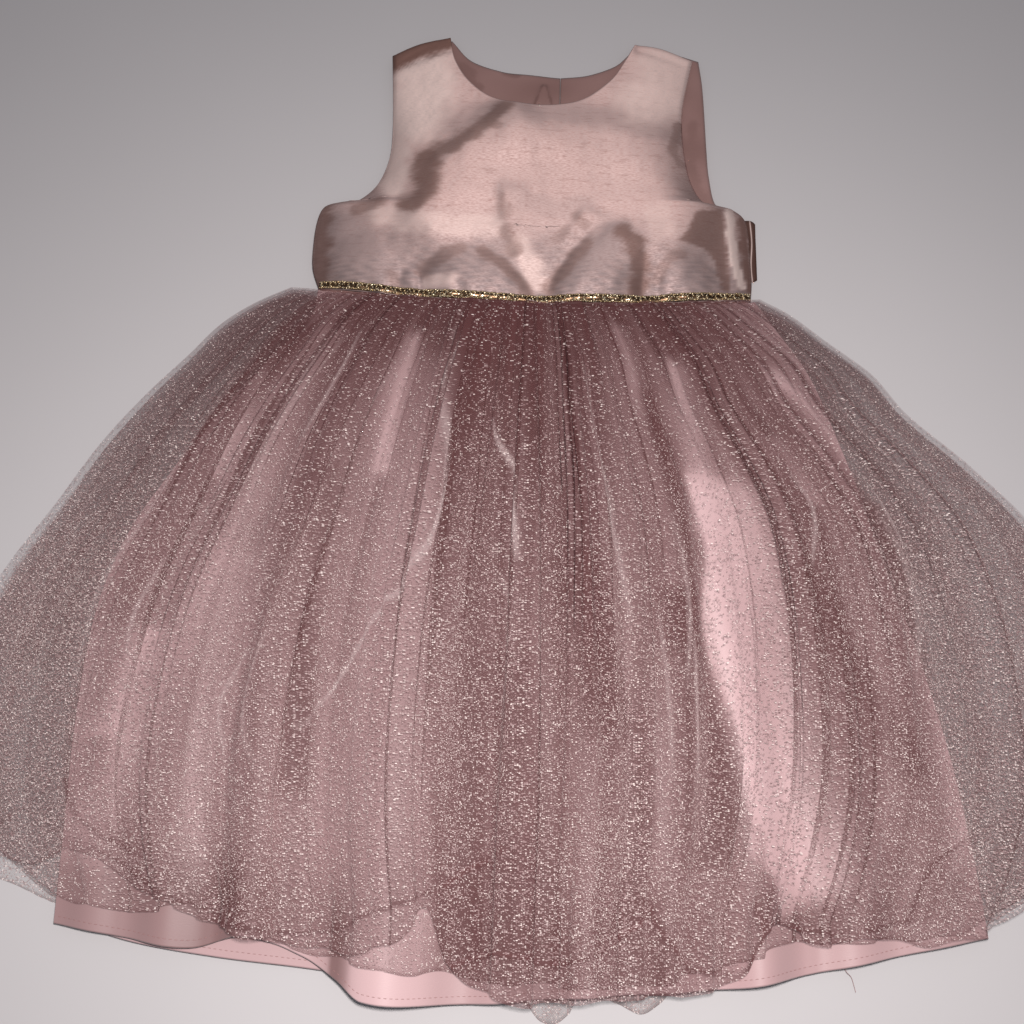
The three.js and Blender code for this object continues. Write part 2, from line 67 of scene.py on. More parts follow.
# Outlines from the waist up to the shoulder, in plan
FRONT_LEFT = [
    (-135, 1.6), (-140, 16), (-141, 32), (-140, 50), (-136, 61), (-127, 64),
    (-116, 65.6), (-103.5, 78), (-96.8, 98), (-96, 121), (-97.6, 150), (-99.7, 178),
]
FRONT_RIGHT = [
    (135, 1.6), (136, 16), (135.3, 36), (133.5, 58), (125, 67), (117, 68),
    (106.5, 72), (99, 86), (95.5, 104), (93.9, 124), (95, 145), (101.5, 180),
]
BACK_LEFT = [
    (-134, 1.6), (-138, 16), (-139, 32), (-138, 50), (-133, 60), (-124, 62),
    (-112, 65.4), (-101, 79), (-94.8, 99), (-94, 121), (-95.6, 150), (-98.2, 177),
]
BACK_RIGHT = [
    (134, 1.6), (135, 16), (134, 36), (132, 56), (126, 64), (120, 67),
    (114, 73), (111, 91), (110, 114), (109, 145), (108, 164), (106, 182),
]
FRONT_NECK = [
    (-61.5, 194), (-57.5, 176), (-46, 157.5), (-26, 143.5), (0, 140.2),
    (26, 145.5), (46, 161.5), (56.5, 179), (63, 192),
]
BACK_NECK_LEFT = [(-60.5, 193.5), (-47, 178), (-27, 170.3), (-9, 168), (13.25, 166)]
BACK_NECK_RIGHT = [(13.55, 166), (31.5, 168.5), (49, 176), (57.5, 184), (62.5, 191.5)]

# Columns: place above the waist, how far the bodice front stands off the back
BODICE_FULLNESS = [
    (-8, 3.6), (8, 4.8), (40, 5.2), (70, 5.0), (104, 4.8), (120, 4.2), (142, 1.8),
    (160, 1.4), (180, 0.6), (200, 0.0),
]
# The satin puffs out above the waist.
# Columns: middle, half width, top, how far the middle moves right per millimetre up, height
BODICE_PUFFS = [
    (-108, 26, 40, 0, 3.4), (-36, 36, 33, -0.15, 4.4), (34, 29, 53, 0.3, 5.2),
    (96, 21, 30, 0, 3.2), (-78, 8, 16, 0, 1.6),
]
# Folds: path in plan, height, then its reach to the right and left of the path's direction
BODICE_FOLDS = [
    ([(-18, 130), (-46, 101), (-60, 88), (-64, 68), (-74, 52)], 3.8, 14, 34),
    ([(-98, 64), (-102, 50)], 1.2, 7, 12),
    ([(-19, 70), (-17, 50), (-9, 28)], 1.6, 7, 14),
    ([(32, 58), (20, 40)], 0.9, 5, 9),
    ([(84, 30), (90, 42), (103, 66)], 4.4, 18, 36),
    ([(124, 66), (124, 34), (128, 4)], 1.4, 4, 4),
    ([(-98, 168), (-80, 178), (-62, 187)], -1.6, 4, 4),
    ([(66, 188), (84, 183), (100, 176)], -1.0, 4, 4),
    ([(-128, 60), (-126, 30), (-127, 6)], 1.6, 6, 14),
    ([(-14, 126), (30, 122), (86, 112)], 1.4, 24, 13),
]
# Painted shade: where the satin is painted brown in the shade of its folds. Columns: path in plan,
# strength, reach
PAINTED_BROWN_SHADES = [
    ([(-23, 137), (-34, 121), (-50, 109), (-62, 101), (-74, 94)], 0.75, 6),
    ([(-70, 96), (-72, 85), (-70, 76)], 0.9, 9),
    ([(-69, 74), (-74, 65), (-82, 60)], 0.85, 7),
    ([(-114, 56), (-106, 60), (-100, 62)], 0.6, 5),
    ([(-100, 173), (-80, 184), (-62, 192)], 1.15, 8.5),
    ([(-70, 13), (-60, 23), (-48, 29)], 0.5, 5),
    ([(-34, 28), (-21, 20), (-13, 11), (-3, -1)], 0.65, 4),
    ([(-22, 66), (-20, 54)], 0.4, 4.5),
    ([(-18, 44), (-13, 28)], 0.5, 5),
    ([(25, 56), (30, 49)], 0.4, 3.5),
    ([(18, 44), (14, 38)], 0.35, 4),
    ([(8, 4), (18, 17), (32, 34)], 0.6, 4.5),
    ([(55, 42), (63, 32), (66, 18), (62, 2)], 0.85, 6.5),
    ([(76, 12), (82, 23), (92, 29)], 0.45, 4),
    ([(132, 63), (132, 40), (134, 12)], 1.0, 4.6),
    ([(-137, 56), (-136, 30), (-134, 6)], 0.85, 7),
    ([(-90, 12), (-85, 0)], 0.45, 3.5),
    ([(92, 128), (87, 110), (92, 98)], 0.55, 3.5),
]
# Flat facets painted brown as shade: corners in plan, against the clock
PAINTED_BROWN_FACETS = [
    [(90, 39), (109, 32), (121, 30), (118, 64), (103, 62)],
    [(110, 34), (117, 6), (121.5, 6), (121.5, 34)],
]
# Painted grey shade, darker towards the waist. Columns: place above the waist, how much grey shade is
# painted there whatever the slope
BODICE_GREY_SHADE = [(-8, 0.9), (14, 0.85), (34, 0.55), (52, 0.12), (70, 0.0), (200, 0.0)]
# Painted grey shade, where the satin lies away from the light
PAINTED_GREY_SHADES = [
    ([(-18, 131), (30, 133), (86, 122)], 0.42, 11),
    ([(-86, 118), (-60, 122), (-38, 130)], 0.35, 8),
    ([(-124, 42), (-106, 24), (-96, 8)], 0.75, 17),
    ([(-62, 12), (-40, 20), (-20, 8)], 0.7, 12),
    ([(22, 8), (42, 30), (50, 42)], 0.8, 13),
    ([(84, 10), (98, 20), (112, 8)], 0.6, 11),
    ([(-20, 72), (10, 60), (30, 62)], 0.25, 9),
]
# Painted highlights, where it lies towards the light
PAINTED_HIGHLIGHT_STRIP = ([(123.2, 63), (122.6, 46), (125, 27), (129, 12)], 1.3, 3.0)
PAINTED_HIGHLIGHTS = [
    ([(-82, 176), (-78, 152), (-84, 128)], 0.95, 22),
    ([(-92, 112), (-91, 92), (-93, 76)], 0.75, 9),
    ([(84, 176), (82, 150), (70, 144)], 0.6, 20),
    PAINTED_HIGHLIGHT_STRIP,
    ([(-100, 53), (-62, 46), (-26, 47)], 0.45, 8),
    ([(-12, 34), (-4, 20), (3, 8)], 0.5, 8),
    ([(-66, 6), (-52, 7)], 0.5, 4.5),
    ([(80, 46), (76, 58)], 0.3, 9),
]

# Small tucks of the lining beside the opening at the centre back
LINING_TUCKS = [
    ([(1.5, 158), (-4, 142)], 0.9, 1.4, 3.0),
    ([(3.5, 158), (8.5, 142)], 0.8, 2.6, 1.3),
    ([(12, 163), (12, 140)], 0.4, 1.2, 4),
]
# Painted shade where the lining darkens in the creases beside them. Columns: path in plan, strength,
# reach
LINING_CREASE_SHADES = [
    ([(1.5, 159), (-4, 142)], 0.6, 1.0),
    ([(4, 159), (8.5, 142)], 0.55, 0.9),
    ([(-52, 172), (-42, 156)], 0.35, 5),
    ([(-24, 169), (-16, 167)], 0.4, 3),
    ([(101, 130), (100, 96), (106, 74)], 0.3, 4),
]

# Columns: place below the waist, half width on the left, half width on the right
LINING_WIDTHS = [
    (6, 135, 134), (-18, 138, 150), (-46, 161, 168), (-80, 186, 181), (-120, 212, 194),
    (-160, 233, 205), (-205, 245, 219), (-260, 248, 233), (-320, 246, 243), (-375, 244, 249),
]
TULLE_WIDTHS = [
    (6, 136, 135), (1, 152, 140), (-8, 171, 157), (-24, 192, 178), (-46, 210, 206),
    (-72, 232, 226), (-104, 255, 261), (-142, 276, 295), (-190, 303, 314), (-240, 318, 322),
    (-290, 322, 321), (-330, 312, 306), (-360, 296, 288),
]
HEMS = {
    "tulle_outer": [
        (-323, -296), (-312, -318), (-288, -335), (-256, -343), (-240, -335), (-198, -354),
        (-150, -374), (-110, -381), (-62, -377), (-47, -358), (-36, -386), (-6, -402),
        (48, -402), (92, -397), (119, -384), (131, -362), (158, -372), (186, -365),
        (214, -370), (244, -363), (272, -347), (306, -322), (323, -294),
    ],
    "tulle_inner": [
        (-318, -292), (-304, -324), (-268, -349), (-240, -364), (-206, -368), (-181, -363),
        (-140, -376), (-90, -386), (-40, -392), (4, -396), (52, -396), (100, -388),
        (140, -374), (190, -370), (236, -364), (264, -350), (302, -326), (318, -294),
    ],
    "tulle_back": [
        (-323, -294), (-309, -330), (-278, -353), (-246, -364), (-190, -373), (-120, -384),
        (-50, -392), (-4, -405), (6, -408), (14, -414), (29, -411), (34, -391), (41, -395),
        (52, -404), (64, -410), (75, -402), (84, -396), (150, -384), (222, -370), (268, -349),
        (305, -325), (322, -293),
    ],
    "lining_front": [
        (-246, -374), (-205, -380), (-170, -384), (-142, -377), (-112, -386), (-92, -397),
        (-78, -406), (-32, -407), (16, -403), (66, -399), (110, -395), (138, -390),
        (184, -380), (226, -371), (250, -366),
    ],
    "lining_back": [
        (-246, -371), (-204, -382), (-160, -388), (-112, -392), (-50, -398), (20, -399),
        (110, -391), (184, -377), (250, -364),
    ],
}
# Columns: place below the waist, how far the lining and the tulle over it swell
SKIRT_FULLNESS = [
    (6, 0.0, 0.1), (-14, 1.6, 2.6), (-44, 2.6, 5.6), (-100, 2.4, 6.2), (-180, 1.8, 5.0),
    (-280, 1.4, 3.6), (-420, 1.0, 1.8),
]
GATHER_HEIGHTS = [
    (6, 0.7, 1.0), (-12, 1.4, 1.8), (-50, 2.0, 2.6), (-160, 2.4, 3.2), (-420, 3.0, 4.2),
]
# Columns: share of the half width, half width of the flute, height at waist and at hem
FLUTES = [
    (-0.93, 0.07, 0.5, 4.5), (-0.76, 0.09, 0.6, 5), (-0.575, 0.08, 1.0, 8),
    (-0.28, 0.17, 1.5, 14), (-0.03, 0.08, 1.2, 6),
    (0.15, 0.09, 1.2, 7), (0.33, 0.08, 1.0, 5), (0.51, 0.1, 1.4, 10),
    (0.72, 0.09, 0.8, 6), (0.91, 0.08, 0.5, 4.5),
]

# Painted shade on the lining's hem, by how far it turns from the light, from left to right
LINING_FRONT_HEM_SHADE = [
    (-250, 0.8), (-215, 0.75), (-180, 0.85), (-150, 0.95), (-142, 0.6), (-125, 0.3), (-104, 0.35),
    (-98, 0.5), (-95, 1.0), (-88, 0.8), (-83, 0.2), (-70, 0.12), (-50, 0.18), (-38, 0.4), (0, 0.4),
    (105, 0.25), (140, 0.4), (200, 0.35), (250, 0.55),
]

# Where the gathered net lies thicker or thinner, drawn from the hem up.
# Columns: path in plan, how much denser, reach to the right, reach to the left
NET_BANDS = [
    ([(-40, -420), (-46, -252), (-46, -173), (-47, -87), (-39, -18)], 0.5, 40, 2.5),
    ([(-92, -420), (-78, -253), (-74, -150), (-67, -62)], -0.5, 26, 30),
    ([(138, -350), (124, -301), (112, -246), (104, -202), (106, -167), (97, -128)], -3.8, 21, 2.2),
    ([(104, -150), (98, -105), (84, -50)], -1.4, 9, 6),
    ([(110, -330), (93, -168), (71, -71)], 0.5, 3, 14),
    ([(184, -330), (162, -142), (136, -81)], 0.28, 16, 3),
    ([(-236, -340), (-214, -268), (-189, -201), (-157, -122), (-124, -31)], -0.65, 11, 5),
    ([(-232, -274), (-224, -254), (-211, -219)], -1.5, 5, 4),
    ([(-184, -125), (-172, -92), (-163, -62)], -1.0, 5, 3),
    ([(-85, -120), (-79, -72), (-70, -33)], -1.3, 4, 7),
    ([(40, -260), (18, -147), (-1, -73), (-9, -14)], 0.3, 20, 12),
    ([(87, -180), (70, -102), (53, -25)], -0.8, 7, 9),
    ([(262, -240), (217, -104), (162, -29)], -0.3, 24, 20),
    ([(200, -128), (184, -101), (163, -73), (144, -52)], -1.2, 5, 4),
    ([(164, -130), (151, -110), (142, -95)], -0.9, 5, 4),
    ([(-225, -210), (-183, -104), (-142, -32)], 0.5, 7, 14),
    ([(76, -400), (64, -281), (36, -170)], 0.4, 4, 16),
    ([(-270, -230), (-223, -112), (-172, -32)], 0.3, 8, 16),
    ([(218, -330), (211, -188), (198, -117)], 0.4, 5, 14),
    ([(-172, -400), (-169, -256), (-163, -177)], -0.4, 14, 12),
    ([(28, -420), (10, -300), (0, -230)], 0.3, 4, 20),
    ([(-117, -300), (-120, -201), (-112, -120)], 0.45, 2, 12),
    ([(236, -330), (232, -250), (222, -180)], -0.6, 8, 6),
    ([(217, -280), (182, -214), (162, -170)], 0.5, 3, 12),
    ([(94, -217), (88, -145), (73, -88)], 0.4, 2, 14),
]
# Edges where the outer net is folded back on itself above the hem, and on which side of the
# path, going along it, the net lies double: 1 for the right and -1 for the left
NET_FOLDED_EDGES = [
    ([(-245, -330), (-216, -339), (-190, -354), (-168, -363), (-150, -372)], -1),
    ([(-143, -371), (-122, -374), (-92, -371), (-79, -364), (-59, -357), (-45, -351)], -1),
    ([(-33, -388), (-10, -380), (20, -385), (47, -376), (68, -359)], -1),
    ([(71, -356), (75, -368), (91, -385), (115, -385), (126, -367), (123, -351)], 1),
    ([(130, -364), (149, -364), (166, -366), (183, -363), (204, -358)], -1),
    ([(205, -354), (216, -332), (235, -318), (257, -307)], 1),
    ([(-39, -349), (-25, -339), (-5, -329)], 1),
    ([(-243, -300), (-232, -322), (-205, -336)], -1),
    ([(-300, -318), (-283, -326), (-268, -318)], -1),
]
# Painted highlights: thin bright lines where a fold of the net stands on edge
NET_EDGE_HIGHLIGHTS = [
    [(-2, -175), (-7, -132), (-22, -87)],
    [(-123, -271), (-102, -245), (-83, -208), (-62, -177), (-47, -113)],
    [(162, -172), (163, -138), (150, -115)],
    [(-52, -137), (-50, -87), (-48, -29)],
    [(-134, -110), (-118, -70), (-104, -30)],
    [(60, -210), (44, -120), (30, -50)],
    [(-170, -150), (-146, -90), (-124, -40)],
    [(124, -310), (112, -246), (103, -202), (106, -167)],
    [(198, -125), (163, -73), (140, -46)],
]
# Places where the glitter lies thickest. Columns: plan place, reach, share more
GLITTER_DRIFTS = [
    (50, -350, 46, 0.5), (-165, -335, 60, 0.45), (215, -175, 34, 0.35), (-270, -200, 40, 0.3),
    (130, -290, 40, 0.15), (-40, -270, 40, 0.2), (240, -330, 40, 0.3),
]
# Half width of the plan in which the skirt's sides run straight up
FAN_HALF = 250.0


# Curves and tables

def eased(table, at, column=1):
    """Values between the rows of a table, with no corner at a row."""
    rows = sorted(table)
    keys = np.array([row[0] for row in rows], float)
    values = np.array([row[column] for row in rows], float)
    slopes = np.gradient(values, keys) if len(keys) > 2 else np.zeros(2)
    slopes[1:-1] = (values[2:] - values[:-2]) / (keys[2:] - keys[:-2])
    at = np.clip(np.asarray(at, float), keys[0], keys[-1])
    after = np.clip(np.searchsorted(keys, at, side="right"), 1, len(keys) - 1)
    run = keys[after] - keys[after - 1]
    t = (at - keys[after - 1]) / run
    t2, t3 = t * t, t * t * t
    return (
        (2 * t3 - 3 * t2 + 1) * values[after - 1]
        + (t3 - 2 * t2 + t) * run * slopes[after - 1]
        + (3 * t2 - 2 * t3) * values[after]
        + (t3 - t2) * run * slopes[after]
    )


def smoothstep(at, low, high):
    t = np.clip((np.asarray(at, float) - low) / (high - low), 0, 1)
    return t * t * (3 - 2 * t)


def mix(low, high, share):
    return low + (high - low) * share


def lengths_along(points):
    """How far along a line of points each point lies."""
    return np.concatenate([[0], np.cumsum(np.linalg.norm(np.diff(points, axis=0), axis=1))])


def smooth_path(points, count, climb=0.0):
    """count + 1 points along a smooth curve, at even steps or in part at even heights."""
    points = np.array(points, float)
    ends = np.vstack([2 * points[0] - points[1], points, 2 * points[-1] - points[-2]])
    fine = []
    for k in range(1, len(ends) - 2):
        a, b, c, d = ends[k - 1 : k + 3]
        t = np.linspace(0, 1, 24, endpoint=k == len(ends) - 3)[:, None]
        fine.append(
            0.5 * (2 * b + (c - a) * t + (2 * a - 5 * b + 4 * c - d) * t**2
                   + (3 * b - a - 3 * c + d) * t**3)
        )
    fine = np.vstack(fine)
    steps = lengths_along(fine)
    heights = np.concatenate([[0], np.cumsum(np.abs(np.diff(fine[:, 1])))])
    steps = (1 - climb) * steps / steps[-1] + climb * heights / max(heights[-1], 1e-6)
    wanted = np.linspace(0, steps[-1], count + 1)
    return np.stack([np.interp(wanted, steps, fine[:, k]) for k in range(fine.shape[1])], 1)


def across_path(path, x, y):
    """Distance to the right of a path, below 0 to its left, and distance past its ends."""
    nearest = np.full(np.shape(x), 1e9)
    signed = np.zeros(np.shape(x))
    beyond = np.zeros(np.shape(x))
    last = len(path) - 2
    for n in range(last + 1):
        (ax, ay), (bx, by) = path[n], path[n + 1]
        length = math.hypot(bx - ax, by - ay)
        ux, uy = (bx - ax) / length, (by - ay) / length
        along = (x - ax) * ux + (y - ay) * uy
        side = (x - ax) * uy - (y - ay) * ux
        before = np.maximum(-along, 0)
        after = np.maximum(along - length, 0)
        distance = np.hypot(side, before + after)
        past_end = np.where(n == 0, before, 0) + np.where(n == last, after, 0)
        here = distance < nearest
        nearest = np.where(here, distance, nearest)
        signed = np.where(here, np.where(past_end > 0, side, np.sign(side) * distance), signed)
        beyond = np.where(here, past_end, beyond)
    return signed, beyond


def fold_relief(folds, x, y):
    """Ridges, or troughs where the height is below 0, each steeper on one of its sides."""
    relief = np.zeros(np.shape(x))
    for path, height, right, left in folds:
        signed, beyond = across_path(smooth_path(path, 16), x, y)
        reach = np.where(signed > 0, right, left)
        relief += height * np.exp(-((signed / reach) ** 2) - (beyond / (0.35 * (right + left))) ** 2)
    return relief


def puff_relief(x, y):
    """Crowned puffs that stand on the waist seam and end in a soft edge."""
    relief = np.zeros(np.shape(x))
    above = np.maximum(y - seam_at(x), 0)
    for middle, half, top, lean, height in BODICE_PUFFS:
        rise = top - seam_at(middle)
        inside = 1 - ((x - middle - lean * above) / half) ** 2 - (above / rise) ** 2
        relief = np.maximum(relief, height * 0.5 * (inside + np.sqrt(inside**2 + 0.005)))
    return relief * (1 - np.exp(-above / 4))


def shade(strokes, x, y):
    """How strongly a place lies inside any of the strokes, 0 to 1, with a ragged edge."""
    ragged = 1.3 * rolling(x * 0.45, y * 1.3, 51, 9) + 0.9 * rolling(x * 0.3, y * 1.5, 52, 3.5)
    shaded = np.zeros(np.shape(x))
    for path, strength, reach in strokes:
        signed, beyond = across_path(smooth_path(path, 12), x, y)
        away = np.hypot(signed, beyond) + ragged * min(reach / 6, 1)
        shaded = np.maximum(shaded, strength * (1 - smoothstep(away, 0.45 * reach, 1.45 * reach)))
    return shaded


def facet_shade(facets, x, y, strength=0.85):
    """How strongly a place lies inside any of the flat facets, 0 to 1, with a ragged edge."""
    ragged = 0.8 * rolling(x * 0.45, y * 1.3, 55, 9) + 0.4 * rolling(x * 0.3, y * 1.5, 56, 3)
    shaded = np.zeros(np.shape(x))
    for corners in facets:
        inside = np.full(np.shape(x), 1e9)
        for (ax, ay), (bx, by) in zip(corners, corners[1:] + corners[:1]):
            length = math.hypot(bx - ax, by - ay)
            inside = np.minimum(inside, ((bx - ax) * (y - ay) - (by - ay) * (x - ax)) / length)
        shaded = np.maximum(shaded, strength * smoothstep(inside + ragged, -1.2, 1.4))
    return shaded


def rolling(x, y, seed, size, parts=5):
    """Slow unevenness in plan, about -1 to 1, with bumps about size millimetres apart."""
    rng = np.random.default_rng(seed)
    total = np.zeros(np.shape(x))
    for _ in range(parts):
        turn = rng.uniform(0, math.pi)
        length = size * rng.uniform(0.7, 1.5)
        along = x * math.cos(turn) + y * math.sin(turn)
        total += np.sin(2 * math.pi * along / length + rng.uniform(0, 6.28))
    return total / parts**0.5


def seam_at(x):
    return SEAM_MIDDLE + SEAM_RISE * (x / WAIST_HALF) ** 2


# Meshes

def cloth_mesh(name, points, uv=None, facts=None):
    """A smooth sheet through a grid of points in millimetres, its face up."""
    rows, columns = points.shape[:2]
    placed = (points + np.array([0, WAIST_ABOVE_ORIGIN, 0])) * MM
    index = np.arange(rows * columns).reshape(rows, columns)
    quads = np.stack([index[:-1, :-1], index[:-1, 1:], index[1:, 1:], index[1:, :-1]], -1)
    return new_mesh(name, placed.reshape(-1, 3), quads.reshape(-1, 4), uv, facts)


def new_object(name, data):
    made = bpy.data.objects.new(name, data)
    bpy.context.scene.collection.objects.link(made)
    return made


def new_mesh(name, vertices, faces, uv=None, facts=None):
    mesh = bpy.data.meshes.new(name)
    mesh.from_pydata(np.asarray(vertices).tolist(), [], np.asarray(faces).tolist())
    if uv is not None:
        layer = mesh.uv_layers.new(name="cut")
        corners = np.empty(len(mesh.loops), int)
        mesh.loops.foreach_get("vertex_index", corners)
        layer.data.foreach_set("uv", uv.reshape(-1, 2)[corners].ravel())
    for fact, values in (facts or {}).items():
        held = mesh.attributes.new(fact, "FLOAT", "POINT")
        held.data.foreach_set("value", np.asarray(values, np.float32).ravel())
    mesh.polygons.foreach_set("use_smooth", np.ones(len(mesh.polygons), bool))
    mesh.update()
    return new_object(name, mesh)


def joined_copies(name, shape, places):
    """One mesh of many copies of a small shape. Each place is a 4 by 4 matrix in millimetres."""
    vertices, faces = shape
    vertices = np.asarray(vertices, float)
    faces = np.asarray(faces, int)
    held = np.hstack([vertices, np.ones((len(vertices), 1))])
    all_vertices = []
    all_faces = []
    for n, place in enumerate(places):
        moved = (held @ np.asarray(place).T)[:, :3] + np.array([0, WAIST_ABOVE_ORIGIN, 0])
        all_vertices.append(moved * MM)
        all_faces.append(faces + n * len(vertices))
    return new_mesh(name, np.vstack(all_vertices), np.vstack(all_faces))


def placed_at(centre, along, up=(0, 0, 1), size=(1, 1, 1)):
    """A matrix that lays a shape's x axis along a direction, at a place, at a size."""
    x = Vector(along).normalized()
    y = Vector(up).cross(x).normalized()
    z = x.cross(y)
    turned = Matrix((x, y, z)).transposed().to_4x4()
    return np.array(Matrix.Translation(centre) @ turned @ Matrix.Diagonal((*size, 1)))


def round_bead(around=8, rings=5):
    """A ball of quads and its two caps, one unit in radius."""
    vertices = [(-1, 0, 0)]
    for r in range(1, rings):
        tilt = math.pi * r / rings
        for k in range(around):
            turn = 2 * math.pi * k / around
            vertices.append((-math.cos(tilt), math.sin(tilt) * math.cos(turn),
                             math.sin(tilt) * math.sin(turn)))
    vertices.append((1, 0, 0))
    faces = []
    last = len(vertices) - 1
    for k in range(around):
        after = (k + 1) % around
        faces.append((0, 1 + after, 1 + k, 1 + k))
        for r in range(rings - 2):
            a, b = 1 + r * around + k, 1 + r * around + after
            faces.append((a, b, b + around, a + around))
        top = 1 + (rings - 2) * around
        faces.append((top + k, top + after, last, last))
    return vertices, faces


def thicken(piece):
    """Gives a sheet the thickness of the satin, below its face."""
    thick = piece.modifiers.new("cloth thickness", "SOLIDIFY")
    thick.thickness = SATIN_THICKNESS * MM
    thick.offset = -1


def finish_piece(piece, material, slot, *nodes):
    piece.data.materials.clear()
    piece.data.materials.append(material)
    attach(piece, "root")
    if nodes:
        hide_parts(*nodes)


# Shader helpers

def cloth_colour(red, green, blue):
    """A linear colour from the 0 to 255 values that a screen shows."""
    parts = [c / 255 for c in (red, green, blue)]
    return tuple(c / 12.92 if c <= 0.04045 else ((c + 0.055) / 1.055) ** 2.4 for c in parts) + (1.0,)


class Nodes:
    """Places nodes in a tree and joins them in a readable way."""

    def __init__(self, tree):
        self.tree = tree

    def place(self, kind, settings=None, **inputs):
        made = self.tree.nodes.new(kind)
        for name, value in (settings or {}).items():
            setattr(made, name, value)
        for name, value in inputs.items():
            self.feed(made.inputs[name.replace("_", " ")], value)
        return made

    def feed(self, socket, value):
        if isinstance(value, bpy.types.NodeSocket):
            self.tree.links.new(value, socket)
        else:
            socket.default_value = value

    def calc(self, operation, *values):
        made = self.tree.nodes.new("ShaderNodeMath")
        made.operation = operation
        for socket, value in zip(made.inputs, values):
            self.feed(socket, value)
        return made.outputs[0]

    def blend(self, share, low, high):
        made = self.tree.nodes.new("ShaderNodeMix")
        made.data_type = "RGBA"
        self.feed(made.inputs[0], share)
        self.feed(made.inputs[6], low)
        self.feed(made.inputs[7], high)
        return made.outputs[2]

    def between(self, value, low, high, to_low=0.0, to_high=1.0):
        made = self.place("ShaderNodeMapRange", Value=value)
        for name, number in (("From Min", low), ("From Max", high),
                             ("To Min", to_low), ("To Max", to_high)):
            made.inputs[name].default_value = number
        return made.outputs[0]

    def fact(self, name):
        """A value that the mesh keeps at each of its points."""
        return self.place("ShaderNodeAttribute", {"attribute_name": name}).outputs["Fac"]

    def own_place(self):
        """Each spot's place on the piece, in metres."""
        return self.place("ShaderNodeTexCoord").outputs["Object"]


def new_group(name, inputs, outputs):
    group = bpy.data.node_groups.new(name, "ShaderNodeTree")
    for label, kind, value in inputs:
        socket = group.interface.new_socket(label, in_out="INPUT", socket_type=kind)
        if value is not None:
            socket.default_value = value
    for label, kind in outputs:
        group.interface.new_socket(label, in_out="OUTPUT", socket_type=kind)
    nodes = Nodes(group)
    given = group.nodes.new("NodeGroupInput").outputs
    gives = group.nodes.new("NodeGroupOutput").inputs
    return group, nodes, given, gives


FLOAT, VECTOR = "NodeSocketFloat", "NodeSocketVector"


def woven_threads_group():
    """Grain of a plain cloth, and thicker slubs here and there along the weft."""
    group, nodes, given, gives = new_group(
        "Woven threads",
        [("Place", VECTOR, None), ("Threads per metre", FLOAT, 1500.0),
         ("Slubs", FLOAT, 0.5), ("Slub length", FLOAT, 0.012)],
        [("Height", FLOAT), ("Grain", FLOAT), ("Slub", FLOAT)],
    )
    split = nodes.place("ShaderNodeSeparateXYZ", Vector=given["Place"])
    x, y = split.outputs[0], split.outputs[1]
    across = nodes.calc("MULTIPLY", x, nodes.calc("MULTIPLY", given["Threads per metre"], 0.24))
    along = nodes.calc("MULTIPLY", y, given["Threads per metre"])
    grain_place = nodes.place("ShaderNodeCombineXYZ", X=across, Y=along)
    grain = nodes.place("ShaderNodeTexNoise", {"noise_dimensions": "2D"},
                        Vector=grain_place.outputs[0], Scale=1.0, Detail=1.0, Roughness=0.6)
    nodes.feed(gives["Grain"], grain.outputs["Fac"])
    slub_x = nodes.calc("DIVIDE", x, given["Slub length"])
    slub_y = nodes.calc("MULTIPLY", y, 420.0)
    slub_place = nodes.place("ShaderNodeCombineXYZ", X=slub_x, Y=slub_y)
    slub_noise = nodes.place("ShaderNodeTexNoise", {"noise_dimensions": "2D"},
                             Vector=slub_place.outputs[0], Scale=1.0, Detail=1.0)
    slub = nodes.between(slub_noise.outputs["Fac"], 0.6, 0.72)
    slub = nodes.calc("MULTIPLY", slub, given["Slubs"])
    nodes.feed(gives["Slub"], slub)
    nodes.feed(gives["Height"], nodes.calc("ADD", slub, grain.outputs["Fac"]))
    return group


def uneven_tone_group():
    """Slow change of tone over a cloth, from handling and the way it was dyed."""
    group, nodes, given, gives = new_group(
        "Uneven tone",
        [("Place", VECTOR, None), ("Bumps per metre", FLOAT, 14.0), ("Strength", FLOAT, 0.3)],
        [("Tone", FLOAT)],
    )
    noise = nodes.place("ShaderNodeTexNoise", Vector=given["Place"],
                        Scale=given["Bumps per metre"], Detail=3.0, Roughness=0.55)
    centred = nodes.calc("SUBTRACT", noise.outputs["Fac"], 0.5)
    nodes.feed(gives["Tone"], nodes.calc("MULTIPLY", centred, given["Strength"]))
    return group


def glitter_flecks_group():
    """Specks of glitter stuck on a flat cloth: some are lit, and a few of them brightly."""
    group, nodes, given, gives = new_group(
        "Glitter flecks",
        [("Place", VECTOR, None), ("Flecks per metre", FLOAT, 1500.0), ("Share lit", FLOAT, 0.3)],
        [("Fleck", FLOAT), ("Brightness", FLOAT)],
    )
    cells = nodes.place("ShaderNodeTexVoronoi", {"voronoi_dimensions": "2D"},
                        Vector=given["Place"], Scale=given["Flecks per metre"])
    tint = nodes.place("ShaderNodeSeparateColor", Color=cells.outputs["Color"])
    chosen = nodes.calc("LESS_THAN", tint.outputs[0], given["Share lit"])
    core = nodes.between(cells.outputs["Distance"], 0.55, 0.38)
    nodes.feed(gives["Fleck"], nodes.calc("MULTIPLY", chosen, core))
    nodes.feed(gives["Brightness"], nodes.calc("POWER", tint.outputs[1], 3.5))
    return group


